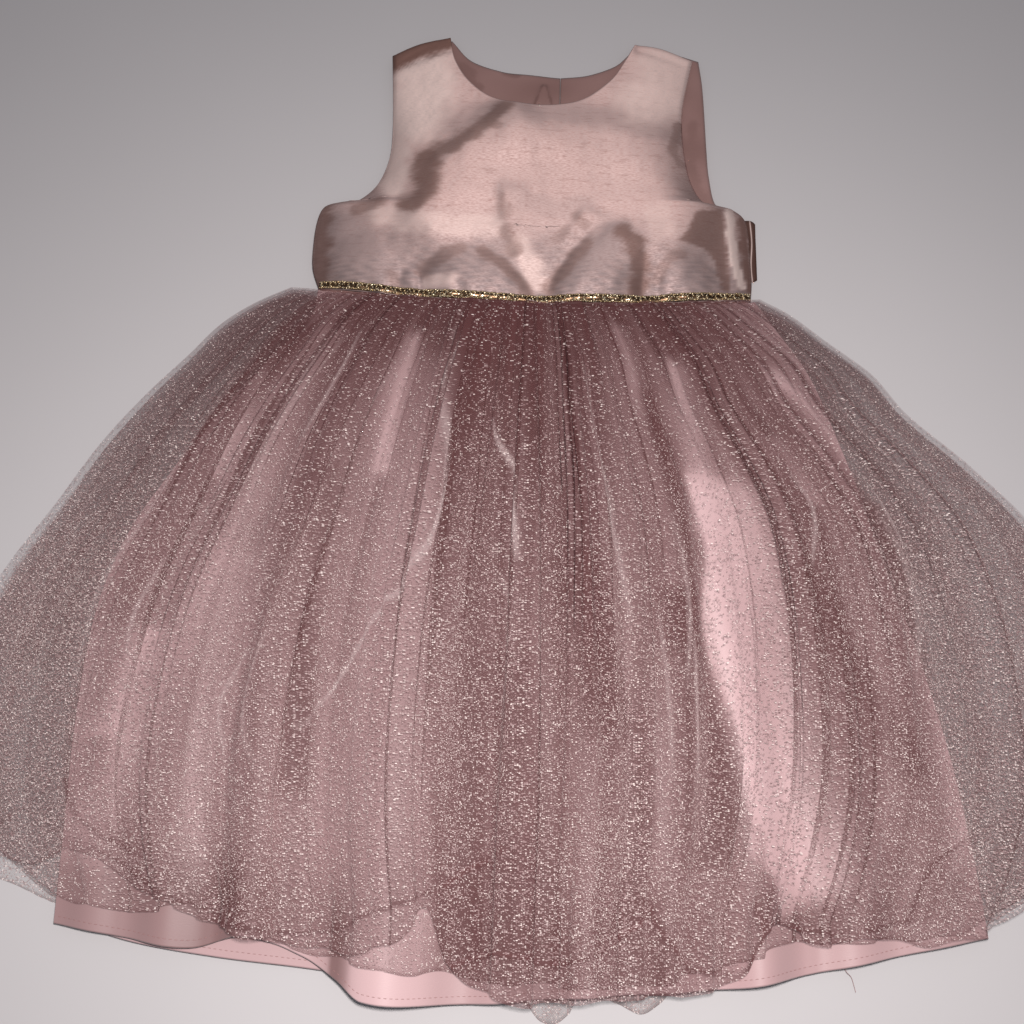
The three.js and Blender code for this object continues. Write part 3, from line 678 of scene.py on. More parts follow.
def net_threads_group():
    """Share of each spot that the threads of a fine net cover, by how tightly it is gathered."""
    group, nodes, given, gives = new_group(
        "Net threads",
        [("Place", VECTOR, None), ("Rows per metre", FLOAT, 800.0),
         ("Single layer", FLOAT, 0.2), ("Gathering", FLOAT, 1.0)],
        [("Cover", FLOAT)],
    )
    split = nodes.place("ShaderNodeSeparateXYZ", Vector=given["Place"])
    turn = nodes.calc("MULTIPLY", given["Rows per metre"], 2 * math.pi)
    across = nodes.calc("SINE", nodes.calc("MULTIPLY", split.outputs[0], turn))
    down = nodes.calc("SINE", nodes.calc("MULTIPLY", split.outputs[1], turn))
    holes = nodes.calc("MULTIPLY", nodes.calc("MULTIPLY", across, down), 0.35)
    threads = nodes.calc("MULTIPLY", nodes.calc("ADD", holes, 1.0), given["Single layer"])
    open_share = nodes.calc("SUBTRACT", 1.0, threads)
    left_open = nodes.calc("POWER", open_share, given["Gathering"])
    nodes.feed(gives["Cover"], nodes.calc("SUBTRACT", 1.0, left_open))
    return group


WOVEN = woven_threads_group()
UNEVEN = uneven_tone_group()
GLITTER = glitter_flecks_group()
NET = net_threads_group()


def new_material(name):
    material = bpy.data.materials.new(name)
    material.use_nodes = True
    nodes = Nodes(material.node_tree)
    shader = material.node_tree.nodes["Principled BSDF"]
    return material, nodes, shader


def use_group(nodes, group, **inputs):
    made = nodes.tree.nodes.new("ShaderNodeGroup")
    made.node_tree = group
    for name, value in inputs.items():
        nodes.feed(made.inputs[name.replace("_", " ")], value)
    return made.outputs


def set_plain(shader, **values):
    for name, value in values.items():
        shader.inputs[name.replace("_", " ")].default_value = value


# Colours of the satin's painted highlight and painted grey shade
SATIN_PAINTED_HIGHLIGHT = cloth_colour(255, 229, 221)
SATIN_PAINTED_GREY = cloth_colour(148, 131, 131)


def bump_weave(nodes, shader, woven, strength):
    bumped = nodes.place("ShaderNodeBump", Strength=strength, Distance=0.0002, Height=woven["Height"])
    nodes.feed(shader.inputs["Normal"], bumped.outputs[0])


def satin_material(name, bright, shaded, brown, metal=0.6, rough=0.62, slubs=0.5, bump=0.2):
    """Slubbed satin with lustrous weft threads, with painted shade and painted highlight from marks on
    the mesh: brown and grey where the cloth turns sideways or slopes from the light, pale where it
    lies towards the light.
    """
    material, nodes, shader = new_material(name)
    place = nodes.own_place()
    woven = use_group(nodes, WOVEN, Place=place, Slubs=slubs, Threads_per_metre=1600.0)
    tone = use_group(nodes, UNEVEN, Place=place, Strength=0.5)["Tone"]
    share = nodes.calc("ADD", nodes.calc("MULTIPLY", woven["Slub"], 0.6), tone)
    share = nodes.calc("ADD", share, nodes.between(woven["Grain"], 0.25, 0.75, 0.15, 0.75))
    face = nodes.blend(nodes.between(share, 0, 1.2), bright, shaded)
    # Marks on the mesh that paint light and shade: turned is painted brown shade, then painted grey
    # shade and a painted highlight
    turned = nodes.fact("turned")
    falls = nodes.fact("painted grey shade")
    lit = nodes.fact("painted highlight")
    face = nodes.blend(lit, face, SATIN_PAINTED_HIGHLIGHT)
    face = nodes.blend(nodes.calc("MULTIPLY", falls, 0.75), face, SATIN_PAINTED_GREY)
    nodes.feed(shader.inputs["Base Color"],
               nodes.blend(nodes.calc("MULTIPLY", turned, 0.85), face, brown))
    nodes.feed(shader.inputs["Roughness"],
               nodes.between(woven["Grain"], 0.3, 0.7, rough - 0.08, rough + 0.08))
    bump_weave(nodes, shader, woven, bump)
    weft = nodes.place("ShaderNodeTangent", {"direction_type": "UV_MAP", "uv_map": "cut"})
    nodes.feed(shader.inputs["Tangent"], weft.outputs[0])
    set_plain(shader, Metallic=metal, Anisotropic=0.75, Anisotropic_Rotation=0.25)
    return material


def lining_material(name, bright, shaded, rough=0.5, sheen=0.3, bump=0.15, painted_shade_colour=None):
    """Smooth lining cloth with a fine weave, and a painted shade colour where it turns from the light.
    """
    material, nodes, shader = new_material(name)
    place = nodes.own_place()
    woven = use_group(nodes, WOVEN, Place=place, Slubs=0.1, Threads_per_metre=2200.0)
    tone = use_group(nodes, UNEVEN, Place=place, Strength=0.9, Bumps_per_metre=9.0)["Tone"]
    face = nodes.blend(nodes.between(tone, -0.25, 0.25), bright, shaded)
    if painted_shade_colour:
        turned = nodes.fact("turned")
        face = nodes.blend(turned, face, painted_shade_colour)
    nodes.feed(shader.inputs["Base Color"], face)
    bump_weave(nodes, shader, woven, bump)
    set_plain(shader, Roughness=rough, Sheen_Weight=sheen)
    return material


def tulle_material(name, thread, deep, cover=0.2):
    """Soft net with glitter: see-through, and denser where it is gathered."""
    material, nodes, shader = new_material(name)
    cut = nodes.place("ShaderNodeUVMap", {"uv_map": "cut"}).outputs[0]
    gathering = nodes.fact("gathering")
    sparkle = nodes.fact("sparkle")
    shine = nodes.fact("shine")
    covered = use_group(nodes, NET, Place=cut, Single_layer=cover, Gathering=gathering)["Cover"]
    glitter = use_group(nodes, GLITTER, Place=cut, Share_lit=sparkle)
    body = nodes.blend(nodes.between(gathering, 0.6, 3.5), thread, deep)
    # Painted highlight: the net is lightened along the shine lines
    body = nodes.blend(nodes.calc("MULTIPLY", shine, 1.8), body, cloth_colour(222, 196, 194))
    fleck_colour = nodes.blend(glitter["Brightness"], cloth_colour(178, 144, 144),
                               cloth_colour(255, 240, 234))
    nodes.feed(shader.inputs["Base Color"], nodes.blend(glitter["Fleck"], body, fleck_colour))
    # Painted glints: the brightest glitter flecks glow through Emission
    lit = nodes.calc("MULTIPLY", glitter["Fleck"], glitter["Brightness"])
    nodes.feed(shader.inputs["Emission Color"],
               nodes.blend(lit, (0, 0, 0, 1), cloth_colour(255, 228, 222)))
    nodes.feed(shader.inputs["Alpha"], nodes.calc("MAXIMUM", covered,
               nodes.calc("MULTIPLY", glitter["Fleck"], 0.8)))
    set_plain(shader, Roughness=0.7, Emission_Strength=0.36)
    return material


def gold_material(name, bright, shaded, glints):
    """Metallic thread whose colour varies at random between a bright and a dark gold, with painted
    glints on bright flecks.
    """
    material, nodes, shader = new_material(name)
    place = nodes.own_place()
    glitter = use_group(nodes, GLITTER, Place=place, Flecks_per_metre=1500.0, Share_lit=glints)
    tone = use_group(nodes, UNEVEN, Place=place, Strength=1.0, Bumps_per_metre=300.0)["Tone"]
    body = nodes.blend(nodes.between(tone, -0.2, 0.2), bright, shaded)
    # Painted glints: bright flecks on the thread
    nodes.feed(shader.inputs["Base Color"],
               nodes.blend(glitter["Fleck"], body, cloth_colour(255, 240, 206)))
    nodes.feed(shader.inputs["Roughness"], nodes.between(glitter["Brightness"], 0, 1, 0.25, 0.5))
    set_plain(shader, Metallic=0.85)
    return material


def thread_material():
    material, nodes, shader = new_material("sewing thread")
    place = nodes.own_place()
    tone = use_group(nodes, UNEVEN, Place=place, Strength=0.8, Bumps_per_metre=400.0)["Tone"]
    nodes.feed(shader.inputs["Base Color"],
               nodes.blend(nodes.between(tone, -0.3, 0.3), cloth_colour(196, 150, 148),
                           cloth_colour(168, 124, 122)))
    set_plain(shader, Roughness=0.6)
    return material


# The third colour of each satin is the brown of its painted shade
SATIN = satin_material("champagne slubbed satin", cloth_colour(244, 213, 207),
                       cloth_colour(200, 162, 155), cloth_colour(136, 100, 90))
SASH_SATIN = satin_material("sash satin", cloth_colour(236, 204, 196),
                            cloth_colour(196, 156, 148), cloth_colour(100, 70, 62))
LINING_PINK = lining_material("pink lining satin", cloth_colour(238, 202, 203),
                              cloth_colour(226, 186, 187),
                              painted_shade_colour=cloth_colour(146, 112, 111))
LINING_PLAIN = lining_material("rosy brown lining", cloth_colour(178, 140, 134),
                               cloth_colour(148, 110, 105), rough=0.75, sheen=0.1, bump=0.3,
                               painted_shade_colour=cloth_colour(108, 74, 66))
TULLE_FRONT = tulle_material("glitter tulle, front", cloth_colour(130, 84, 84),
                             cloth_colour(106, 60, 60))
TULLE_BACK = tulle_material("glitter tulle, back", cloth_colour(120, 88, 86),
                            cloth_colour(98, 64, 62))
GOLD = gold_material("gold metallic thread", cloth_colour(226, 200, 156),
                     cloth_colour(126, 100, 76), 0.4)
TAPE = gold_material("dark gold tape", cloth_colour(116, 90, 66), cloth_colour(56, 40, 32), 0.12)
THREAD = thread_material()


# Bodice

def side_share(x, y):
    left = np.abs(eased([(p[1], p[0]) for p in FRONT_LEFT], y))
    right = np.abs(eased([(p[1], p[0]) for p in FRONT_RIGHT], y))
    return np.minimum(np.abs(x) / np.where(x < 0, left, right), 1)


def front_height(x, y):
    round_away = 1 - side_share(x, np.maximum(y, 2)) ** 8
    lift = eased(BODICE_FULLNESS, y) + fold_relief(BODICE_FOLDS, x, y) + puff_relief(x, y)
    near_waist = np.exp(-np.maximum(y - seam_at(x), 0) / 7)
    dents = near_waist * 0.8 * rolling(x, y * 0.3, 8, 11)
    uneven = 0.22 * rolling(x, y, 3, 36) + 0.04 * rolling(x, y, 4, 9)
    return LAYER["bodice_front"] + np.maximum(lift + dents + uneven, 0) * round_away


def back_height(floor, y):
    return floor - PITCH * smoothstep(y, 86.5, 109.5)


def shoulder(outer, neck):
    crown = (mix(outer[0], neck[0], 0.45), mix(outer[1], neck[1], 0.45) + 2.5)
    return [outer, crown, neck]


def bodice_grid(left, right, upper, rows, waist_from, waist_to):
    """Plan points stretched between the waist, the two sides and the upper edge."""
    tops = []
    shares = []
    for n, (path, columns, low, high) in enumerate(upper):
        skip = 1 if n else 0
        tops.append(smooth_path(path, columns)[skip:])
        shares.append(np.linspace(low, high, columns + 1)[skip:])
    tops = np.vstack(tops)
    shares = np.concatenate(shares)
    waist_x = mix(waist_from, waist_to, shares)
    bottoms = np.stack([waist_x, seam_at(waist_x) + 0.2], 1)
    v = np.linspace(0, 1, rows + 1)[:, None, None]
    straight = mix(bottoms[None], tops[None], v)
    left_pull = smooth_path(left, rows, 0.6)[:, None] - straight[:, :1]
    right_pull = smooth_path(right, rows, 0.6)[:, None] - straight[:, -1:]
    s = shares[None, :, None]
    return straight + left_pull * (1 - s) + right_pull * s


def edge_distance(plan):
    """Each grid point's distance in steps of cloth from the nearest finished edge."""
    rows, columns = plan.shape[:2]
    step_x = np.linalg.norm(np.diff(plan, axis=1), axis=2)
    step_y = np.linalg.norm(np.diff(plan, axis=0), axis=2)
    from_left = np.concatenate([np.zeros((rows, 1)), np.cumsum(step_x, 1)], 1)
    from_right = from_left[:, -1:] - from_left
    from_low = np.concatenate([np.zeros((1, columns)), np.cumsum(step_y, 0)], 0)
    from_top = from_low[-1:] - from_low
    return np.minimum(np.minimum(from_left, from_right), from_top)


def slope_shade(plan, height, step=0.8):
    """Painted shade for shot satin from its slopes: brown where it turns aside, grey where it slopes
    down from the light.
    """
    x, y = plan[..., 0], plan[..., 1]
    aside = np.abs(height(x + step, y) - height(x - step, y)) / (2 * step)
    rise = (height(x, y + step) - height(x, y - step)) / (2 * step)
    falls = np.maximum(-rise, 0)
    return {
        "turned": 0.3 * smoothstep(np.hypot(aside, 0.5 * falls), 0.15, 0.5),
        "painted grey shade": 0.6 * smoothstep(falls, 0.05, 0.35),
        "painted highlight": 0 * x,
    }


def front_shade_and_highlight(plan, height):
    # Painted light on the bodice front: brown and grey painted shade, and painted highlights, from the
    # slopes and the tables above
    tones = slope_shade(plan, height)
    x, y = plan[..., 0], plan[..., 1]
    brown = np.maximum(shade(PAINTED_BROWN_SHADES, x, y), facet_shade(PAINTED_BROWN_FACETS, x, y))
    brown = brown * (1 - np.minimum(shade([PAINTED_HIGHLIGHT_STRIP], x, y), 1))
    tones["turned"] = np.maximum(tones["turned"], brown)
    low = eased(BODICE_GREY_SHADE, y + 4 * rolling(x, y, 53, 40))
    low = low * (1 + 0.2 * rolling(x, y * 3, 54, 12))
    pale = shade(PAINTED_HIGHLIGHTS, x, y)
    grey = np.maximum(np.maximum(tones["painted grey shade"], low), shade(PAINTED_GREY_SHADES, x, y))
    tones["painted grey shade"] = grey * (1 - np.minimum(1.6 * pale, 1))
    tones["painted highlight"] = pale * (1 - brown)
    return tones


def bodice_sheet(name, plan, height, tones=slope_shade, roll=0.9, reach=2.2):
    """A cloth piece whose finished edges roll down, with the cloth's own thickness."""
    z = height(plan[..., 0], plan[..., 1])
    near = np.clip(1 - edge_distance(plan) / reach, 0, 1)
    z = z - roll * near**2
    piece = cloth_mesh(name, np.dstack([plan, z + WALL]), plan * MM, tones(plan, height))
    thicken(piece)
    return piece


def make_bodice_front():
    plan = bodice_grid(
        FRONT_LEFT, FRONT_RIGHT,
        [(shoulder(FRONT_LEFT[-1], FRONT_NECK[0]), 26, 0, 0.21),
         (FRONT_NECK, 110, 0.21, 0.79),
         (shoulder(FRONT_NECK[-1], FRONT_RIGHT[-1]), 26, 0.79, 1)],
        150, -WAIST_HALF, WAIST_HALF,
    )
    piece = bodice_sheet("bodice_front_satin", plan, front_height, front_shade_and_highlight)
    finish_piece(piece, SATIN, "satin", "bodice_front")


def back_plan(side, strap_columns, neck_columns, rows):
    is_left = side == "left"
    outer = BACK_LEFT if is_left else BACK_RIGHT
    neck = BACK_NECK_LEFT if is_left else BACK_NECK_RIGHT
    meeting = BACK_OPENING + (-0.15 if is_left else 0.15)
    centre = [(meeting, seam_at(meeting) + 0.2), (meeting, 80), neck[-1] if is_left else neck[0]]
    if is_left:
        upper = [(shoulder(outer[-1], neck[0]), strap_columns, 0, 0.42), (neck, neck_columns, 0.42, 1)]
        return bodice_grid(outer, centre, upper, rows, -WAIST_HALF + 1, meeting)
    upper = [(neck, neck_columns, 0, 0.58), (shoulder(neck[-1], outer[-1]), strap_columns, 0.58, 1)]
    return bodice_grid(centre, outer, upper, rows, meeting, WAIST_HALF - 1)


def lining_height(x, y):
    tuck = fold_relief(LINING_TUCKS, x, y)
    return back_height(LAYER["back_lining"], y) + tuck + 0.12 * rolling(x, y, 21, 26)


def satin_back_height(x, y):
    return back_height(LAYER["bodice_back"], y)


def lining_shade_and_tone(plan, height):
    x, y = plan[..., 0], plan[..., 1]
    # Painted shade in the creases, over a tone that varies at random
    return {"turned": np.maximum(shade(LINING_CREASE_SHADES, x, y), 0.1 + 0.12 * rolling(x, y, 22, 40))}


def make_back_half(side):
    for name, height, tones, grid, material, slot, node in (
        ("back_lining_cloth_", lining_height, lining_shade_and_tone, (20, 84, 120), LINING_PLAIN,
         "lining_plain", "back_lining_"),
        ("bodice_back_satin_", satin_back_height, slope_shade, (16, 30, 60), SATIN,
         "satin", "bodice_back_"),
    ):
        piece = bodice_sheet(name + side, back_plan(side, *grid), height, tones, roll=0.6)
        finish_piece(piece, material, slot, node + side)


def make_sash():
    """A band across the back whose folded end stands out past the right side."""
    xs = np.concatenate([
        np.linspace(SASH_LEFT, SASH_RIGHT - 8, 60), np.linspace(SASH_RIGHT - 7.6, SASH_RIGHT, 32),
    ])
    ys = np.linspace(0, 1, 25)
    x, v = np.meshgrid(xs, ys)
    slant = SEAM_RISE * (x / WAIST_HALF) ** 2 * 0.6
    y = mix(SASH_LOW, SASH_HIGH, v) + v * slant / 2
    corner = np.clip((x - (SASH_RIGHT - 4)) / 4, 0, 1)
    y = y - corner**2 * 2.5 * smoothstep(v, 0.85, 1) + corner**2 * 1.5 * smoothstep(v, 0.12, 0)
    rolled_end = np.clip((x - (SASH_RIGHT - 1.5)) / 1.5, 0, 1) ** 2
    z = 0.95 + 0.12 * rolling(x, y, 5, 18) - 0.25 * rolled_end
    # Painted shade over the whole band, with a painted highlight line along the fold of its end
    highlight_line = np.exp(-(((x - SASH_HIGHLIGHT_LINE - 0.5 * np.sin(y / 6)) / 0.4) ** 2))
    tones = {"turned": 1.17 * (1 - highlight_line), "painted grey shade": 0 * x, "painted highlight": highlight_line}
    piece = cloth_mesh("sash_band", np.dstack([x, y, z + 0.15]), np.dstack([x, y]) * MM, tones)
    thicken(piece)
    finish_piece(piece, SASH_SATIN, "satin", "sash")


# Braid

def braid_beads():
    """Beads of the braid: distance along it, distance above its middle, lift, turn and size."""
    rng = np.random.default_rng(12)
    beads = []
    pitch = (2 * WAIST_HALF - 2) / BRAID_UNITS
    for n in range(BRAID_UNITS):
        x = -WAIST_HALF + 1 + pitch * (n + 0.5)
        side = 1 if n % 2 else -1
        jitter = rng.uniform(-0.25, 0.25, 3)
        lift = 0.75 + 0.3 * jitter[2]
        beads.append((x, 1.15 * side, lift, 0.9 * side + jitter[0], (1.35, 0.8, 0.75)))
        beads.append((x + pitch * 0.5, -1.85 * side, 0.35, jitter[1], (0.75, 0.6, 0.55)))
        beads.append((x, 0.1, 1.2, -1.2 * side, (1.1, 0.38, 0.42)))
    for cord in (-1.7, 1.7):
        for x in np.linspace(-WAIST_HALF + 1, WAIST_HALF - 1, 300):
            beads.append((x, cord, 0.25, 1.2, (0.75, 0.32, 0.34)))
    return beads


def make_braid():
    """Two twisted metallic cords with a zigzag of small loops and beads between them."""
    beads = braid_beads()
    x = np.array([bead[0] for bead in beads])
    y = seam_at(x) + BRAID_ABOVE_SEAM + np.array([bead[1] for bead in beads])
    seat = np.maximum(front_height(x, y), front_height(x, y + 2)) + WALL + 0.5
    places = [
        placed_at((x[n], y[n], seat[n] + lift), (1, turn, 0.15), size=size)
        for n, (_, _, lift, turn, size) in enumerate(beads)
    ]
    piece = joined_copies("waist_braid_gold", round_bead(), places)
    finish_piece(piece, GOLD, "gold_braid", "waist_braid")
    make_braid_tape()


def make_braid_tape():
    """The dark woven tape that the braid's beads are worked on."""
    across = np.linspace(-WAIST_HALF + 0.5, WAIST_HALF - 0.5, 270)
    x, aside = np.meshgrid(across, np.linspace(-2.3, 2.3, 9))
    y = seam_at(x) + BRAID_ABOVE_SEAM + aside
    crown = 0.7 * (1 - (aside / 2.5) ** 2)
    z = np.maximum(front_height(x, y), front_height(x, y + 1.5)) + WALL + 0.1 + crown
    piece = cloth_mesh("waist_braid_tape", np.dstack([x, y, z]))
    finish_piece(piece, TAPE, "gold_braid", "waist_braid")


# Skirt

def half_width(widths, y, side):
    return np.where(np.asarray(side) < 0, eased(widths, y, 1), eased(widths, y, 2))


def hem_at(widths, hem, share):
    y = np.full(np.shape(share), -380.0)
    for _ in range(12):
        y = 0.5 * y + 0.5 * eased(hem, share * half_width(widths, y, share))
    return y


def lining_front_height(x, y):
    share = np.minimum(np.abs(x) / half_width(LINING_WIDTHS, y, x), 1)
    signed = np.sign(x) * share
    down = smoothstep(-y, -4, 400)
    lift = eased(SKIRT_FULLNESS, y, 1)
    for at, half, waist, hem in FLUTES:
        off = np.abs(signed - at) / half
        bump = np.where(off < 1, 0.5 * (1 + np.cos(math.pi * np.minimum(off, 1))), 0)
        lift = lift + mix(waist, hem, down) * bump
    return LAYER["skirt_front"] + lift * (1 - share**8)


def tulle_floor(x, y):
    lining_edge = half_width(LINING_WIDTHS, y, x)
    tulle_edge = half_width(TULLE_WIDTHS, y, x)
    past = smoothstep(np.abs(x) - lining_edge, 2, 34)
    floor = mix(lining_front_height(x, y) + PITCH, LAYER["skirt_back"], past)
    edge = 1 - np.minimum(np.abs(x) / tulle_edge, 1) ** 6
    return floor + eased(SKIRT_FULLNESS, y, 2) * edge


def fold_strength(share, drop, seed, folds):
    """How strongly each fold stands, changing slowly across and down, 0 to 1."""
    rng = np.random.default_rng(seed)
    total = np.zeros(np.shape(share))
    for _ in range(5):
        turns = folds * rng.uniform(0.12, 0.6)
        phase = rng.uniform(0, 6.28) + rng.uniform(-2, 2) * drop / 220
        total += np.sin(math.pi * turns * share + phase)
    return np.clip(0.5 + 0.42 * total / 5**0.5 * 1.4, 0.05, 1)


def gather_folds(share, drop, level, seed):
    """Sideways and upward shift of one size of fold, as shares of the fold's width."""
    folds, overlap, height_share, fade_from, fade_to = level
    rng = np.random.default_rng(seed)
    wander = np.zeros(np.shape(share))
    for _ in range(4):
        turns = folds * rng.uniform(0.05, 0.35)
        phase = rng.uniform(0, 6.28) + rng.uniform(-1, 1) * drop / 160
        wander += np.sin(math.pi * turns * share + phase)
    turn = math.pi * folds * share + 1.1 * wander
    strength = fold_strength(share, drop, seed + 50, folds)
    fade = mix(1.0, fade_to, smoothstep(drop, fade_from, fade_from + 160))
    sideways = overlap * np.sin(2 * turn) * strength * fade
    upward = height_share * 0.5 * (1 + np.cos(turn)) * strength * fade
    return sideways, upward


def streaks(share, drop, seed, counts):
    """Fine lengthwise streaks where the net is bunched, about -1 to 1."""
    rng = np.random.default_rng(seed)
    total = np.zeros(np.shape(share))
    weight_sum = 0.0
    for count, weight, fade in counts:
        for _ in range(4):
            turns = count * rng.uniform(0.7, 1.4)
            phase = rng.uniform(0, 6.28) + rng.uniform(-2.5, 2.5) * drop / 150
            total += weight * np.exp(-drop / fade) * np.sin(math.pi * turns * share + phase)
        weight_sum += weight * 2
    return total / weight_sum


STREAK_COUNTS = [(150, 0.8, 260), (70, 1.0, 700), (28, 1.0, 2000), (11, 0.7, 4000)]


def fanned(path):
    """A path on the skirt, in a plan where the skirt's sides run straight up."""
    return [(x / float(half_width(TULLE_WIDTHS, y, x)) * FAN_HALF, y) for x, y in path]


def net_density(bands, share, y):
    """How much thicker or thinner the net lies, as a power of e."""
    return fold_relief([(fanned(path), *rest) for path, *rest in bands], share * FAN_HALF, y)


def folded_edge_density(share, y):
    """A thin dark edge with a double layer of net along one side of it."""
    bands = []
    for path, side in NET_FOLDED_EDGES:
        right, left = (26, 1.2) if side > 0 else (1.2, 26)
        bands.append((path, 0.3, right, left))
        bands.append((path, 0.9, 1.1, 1.1))
    return net_density(bands, share, y)


def glitter_drift(x, y):
    drift = np.zeros(np.shape(x))
    for at_x, at_y, reach, more in GLITTER_DRIFTS:
        drift += more * np.exp(-((x - at_x) ** 2 + (y - at_y) ** 2) / reach**2)
    return drift


def net_edge_shine(share, y, seed):
    """Painted lines of light along a few folds that stand on edge, 0 to 1."""
    rng = np.random.default_rng(seed)
    paths = [fanned(path) for path in NET_EDGE_HIGHLIGHTS]
    for _ in range(16):
        at, low = rng.uniform(-230, 230), rng.uniform(-330, -150)
        rise = rng.uniform(60, 150)
        bend = rng.uniform(-6, 6, 2)
        paths.append([(at, low), (at + bend[0], low + rise / 2), (at + bend[1], low + rise)])
    shine = np.zeros(np.shape(share))
    for n, path in enumerate(paths):
        strength = 0.85 if n < 2 else rng.uniform(0.25, 0.55)
        heights = [point[1] for point in path]
        up = np.clip((y - min(heights)) / (max(heights) - min(heights)), 0, 1)
        line = fold_relief([(path, strength, 0.9, 0.9)], share * FAN_HALF, y)
        shine = np.maximum(shine, line * np.sqrt(4 * up * (1 - up)))
    return shine


def skirt_plan(widths, hem, trim, columns, rows, hem_wave=0.0, seed=0):
    share = np.linspace(-1, 1, columns + 1)[None, :]
    low_rows = int(0.3 * rows)
    low = np.linspace(0.012, 0.16, low_rows)
    high = np.linspace(0.16, 1, rows - 1 - low_rows)[1:]
    up = np.concatenate([[0, 0.0025, 0.006], low, high])[:, None]
    seam = seam_at(share * WAIST_HALF) - 0.2
    bottom = hem_at(widths, hem, share)
    bottom = bottom + hem_wave * rolling(share * 300, share * 0, seed, 28)
    y = mix(bottom, seam, up)
    share = np.broadcast_to(share, y.shape)
    x = share * half_width(widths, y, share) * mix(trim, 1, np.broadcast_to(up, y.shape))
    return share, x, y


def make_tulle(name, node, hem, trim, floor_height, heights_column, levels, seed, grid,
               material, gathering, banded=False, is_top=False):
    """One gathered layer of net, draped over the layer below it."""
    columns, rows = grid
    share, x, y = skirt_plan(TULLE_WIDTHS, HEMS[hem], trim, columns, rows, 1.6, seed)
    drop = np.maximum(seam_at(share * WAIST_HALF) - y, 0)
    room = eased(GATHER_HEIGHTS, y, heights_column)
    width = half_width(TULLE_WIDTHS, y, share)
    inside = 1 - np.abs(share) ** 10
    moved = np.zeros(x.shape)
    raised = np.zeros(x.shape)
    for n, level in enumerate(levels):
        sideways, upward = gather_folds(share, drop, level, seed + 10 * n)
        fold_width = 2 * width / level[0]
        moved += sideways * fold_width * inside
        raised += upward
    raised = np.minimum(raised, 1.15) * room * inside
    x_moved = np.clip(x + moved, -width, width)
    z = floor_height(x, y) + raised
    spread_out = 1 - 0.55 * smoothstep(np.abs(share), 0.45, 0.9)
    streaky = streaks(share, drop, seed + 5, STREAK_COUNTS)
    density = 0.6 * streaky + (net_density(NET_BANDS, share, y) if banded else 0)
    if is_top:
        density = density + folded_edge_density(share, y)
    shine = net_edge_shine(share, y, seed + 6) if is_top else np.zeros(x.shape)
    above_hem = y - y[:1]
    hem_edge = np.exp(-((above_hem / 1.3) ** 2))
    bunched = gathering(drop) * spread_out * np.exp(density) + 1.6 * hem_edge + 0.9 * shine
    drifts = 0.5 + 0.35 * streaks(share * 0.9 + 0.05, drop, seed + 7, STREAK_COUNTS)
    lit = mix(0.1, 0.34, smoothstep(drop, 0, 220)) * (1 + glitter_drift(x, y))
    sparkle = lit * (0.5 + drifts) * np.clip(np.exp(0.6 * density), 0.35, 1) + 0.3 * shine
    uv = np.dstack([x, y]) * MM + seed * 0.0137
    facts = {"gathering": bunched, "sparkle": sparkle, "shine": shine}
    piece = cloth_mesh(name, np.dstack([x_moved, y, z]), uv, facts)
    finish_piece(piece, material, "tulle", node)


def make_skirt_tulle():
    front_gathering = lambda drop: mix(1.62, 4.0, np.exp(-drop / 75))
    back_gathering = lambda drop: mix(1.2, 3.0, np.exp(-drop / 75))
    outer_levels = [(46, 0.13, 0.55, 90, 0.35), (19, 0.12, 0.75, 260, 0.8)]
    inner_levels = [(34, 0.12, 0.6, 90, 0.4), (13, 0.10, 0.7, 260, 0.8)]

    def inner_floor(x, y):
        return tulle_floor(x, y) + WALL * 0.5

    def outer_floor(x, y):
        return tulle_floor(x, y) + eased(GATHER_HEIGHTS, y, 1) + PITCH + 0.5 + WALL * 0.5

    def flat_floor(level):
        return lambda x, y: level + 0.25 * rolling(x, y, 4, 60) + 0.5

    make_tulle("tulle_front_outer_net", "tulle_front_outer", "tulle_outer", 1.0, outer_floor, 2,
               outer_levels, 101, (640, 150), TULLE_FRONT, front_gathering,
               banded=True, is_top=True)
    make_tulle("tulle_front_inner_net", "tulle_front_inner", "tulle_inner", 0.97, inner_floor, 1,
               inner_levels, 202, (560, 80), TULLE_FRONT, front_gathering,
               banded=True)
    make_tulle("tulle_back_inner_net", "tulle_back_inner", "tulle_inner", 0.985,
               flat_floor(LAYER["tulle_back_inner"]), 1, [(30, 0.1, 0.2, 90, 0.5)], 303,
               (400, 60), TULLE_BACK, back_gathering)
    make_tulle("tulle_back_outer_net", "tulle_back_outer", "tulle_back", 1.0,
               flat_floor(LAYER["tulle_back_outer"]), 1, [(34, 0.1, 0.2, 90, 0.5)], 404,
               (420, 60), TULLE_BACK, back_gathering)


def hem_with_return(points, steps=5):
    """Adds the turned-up hem under the lower edge of a grid of points."""
    edge = points[0]
    inward = points[1] - points[0]
    inward = inward / np.linalg.norm(inward, axis=1, keepdims=True)
    turned = []
    for k in range(steps, 0, -1):
        run = HEM_TURN_UP * (k / steps) ** 1.5
        under = edge + inward * run
        under[:, 2] -= 0.45 * min(1.0, 0.6 + k / steps)
        turned.append(under)
    return np.concatenate([np.array(turned), points], 0)


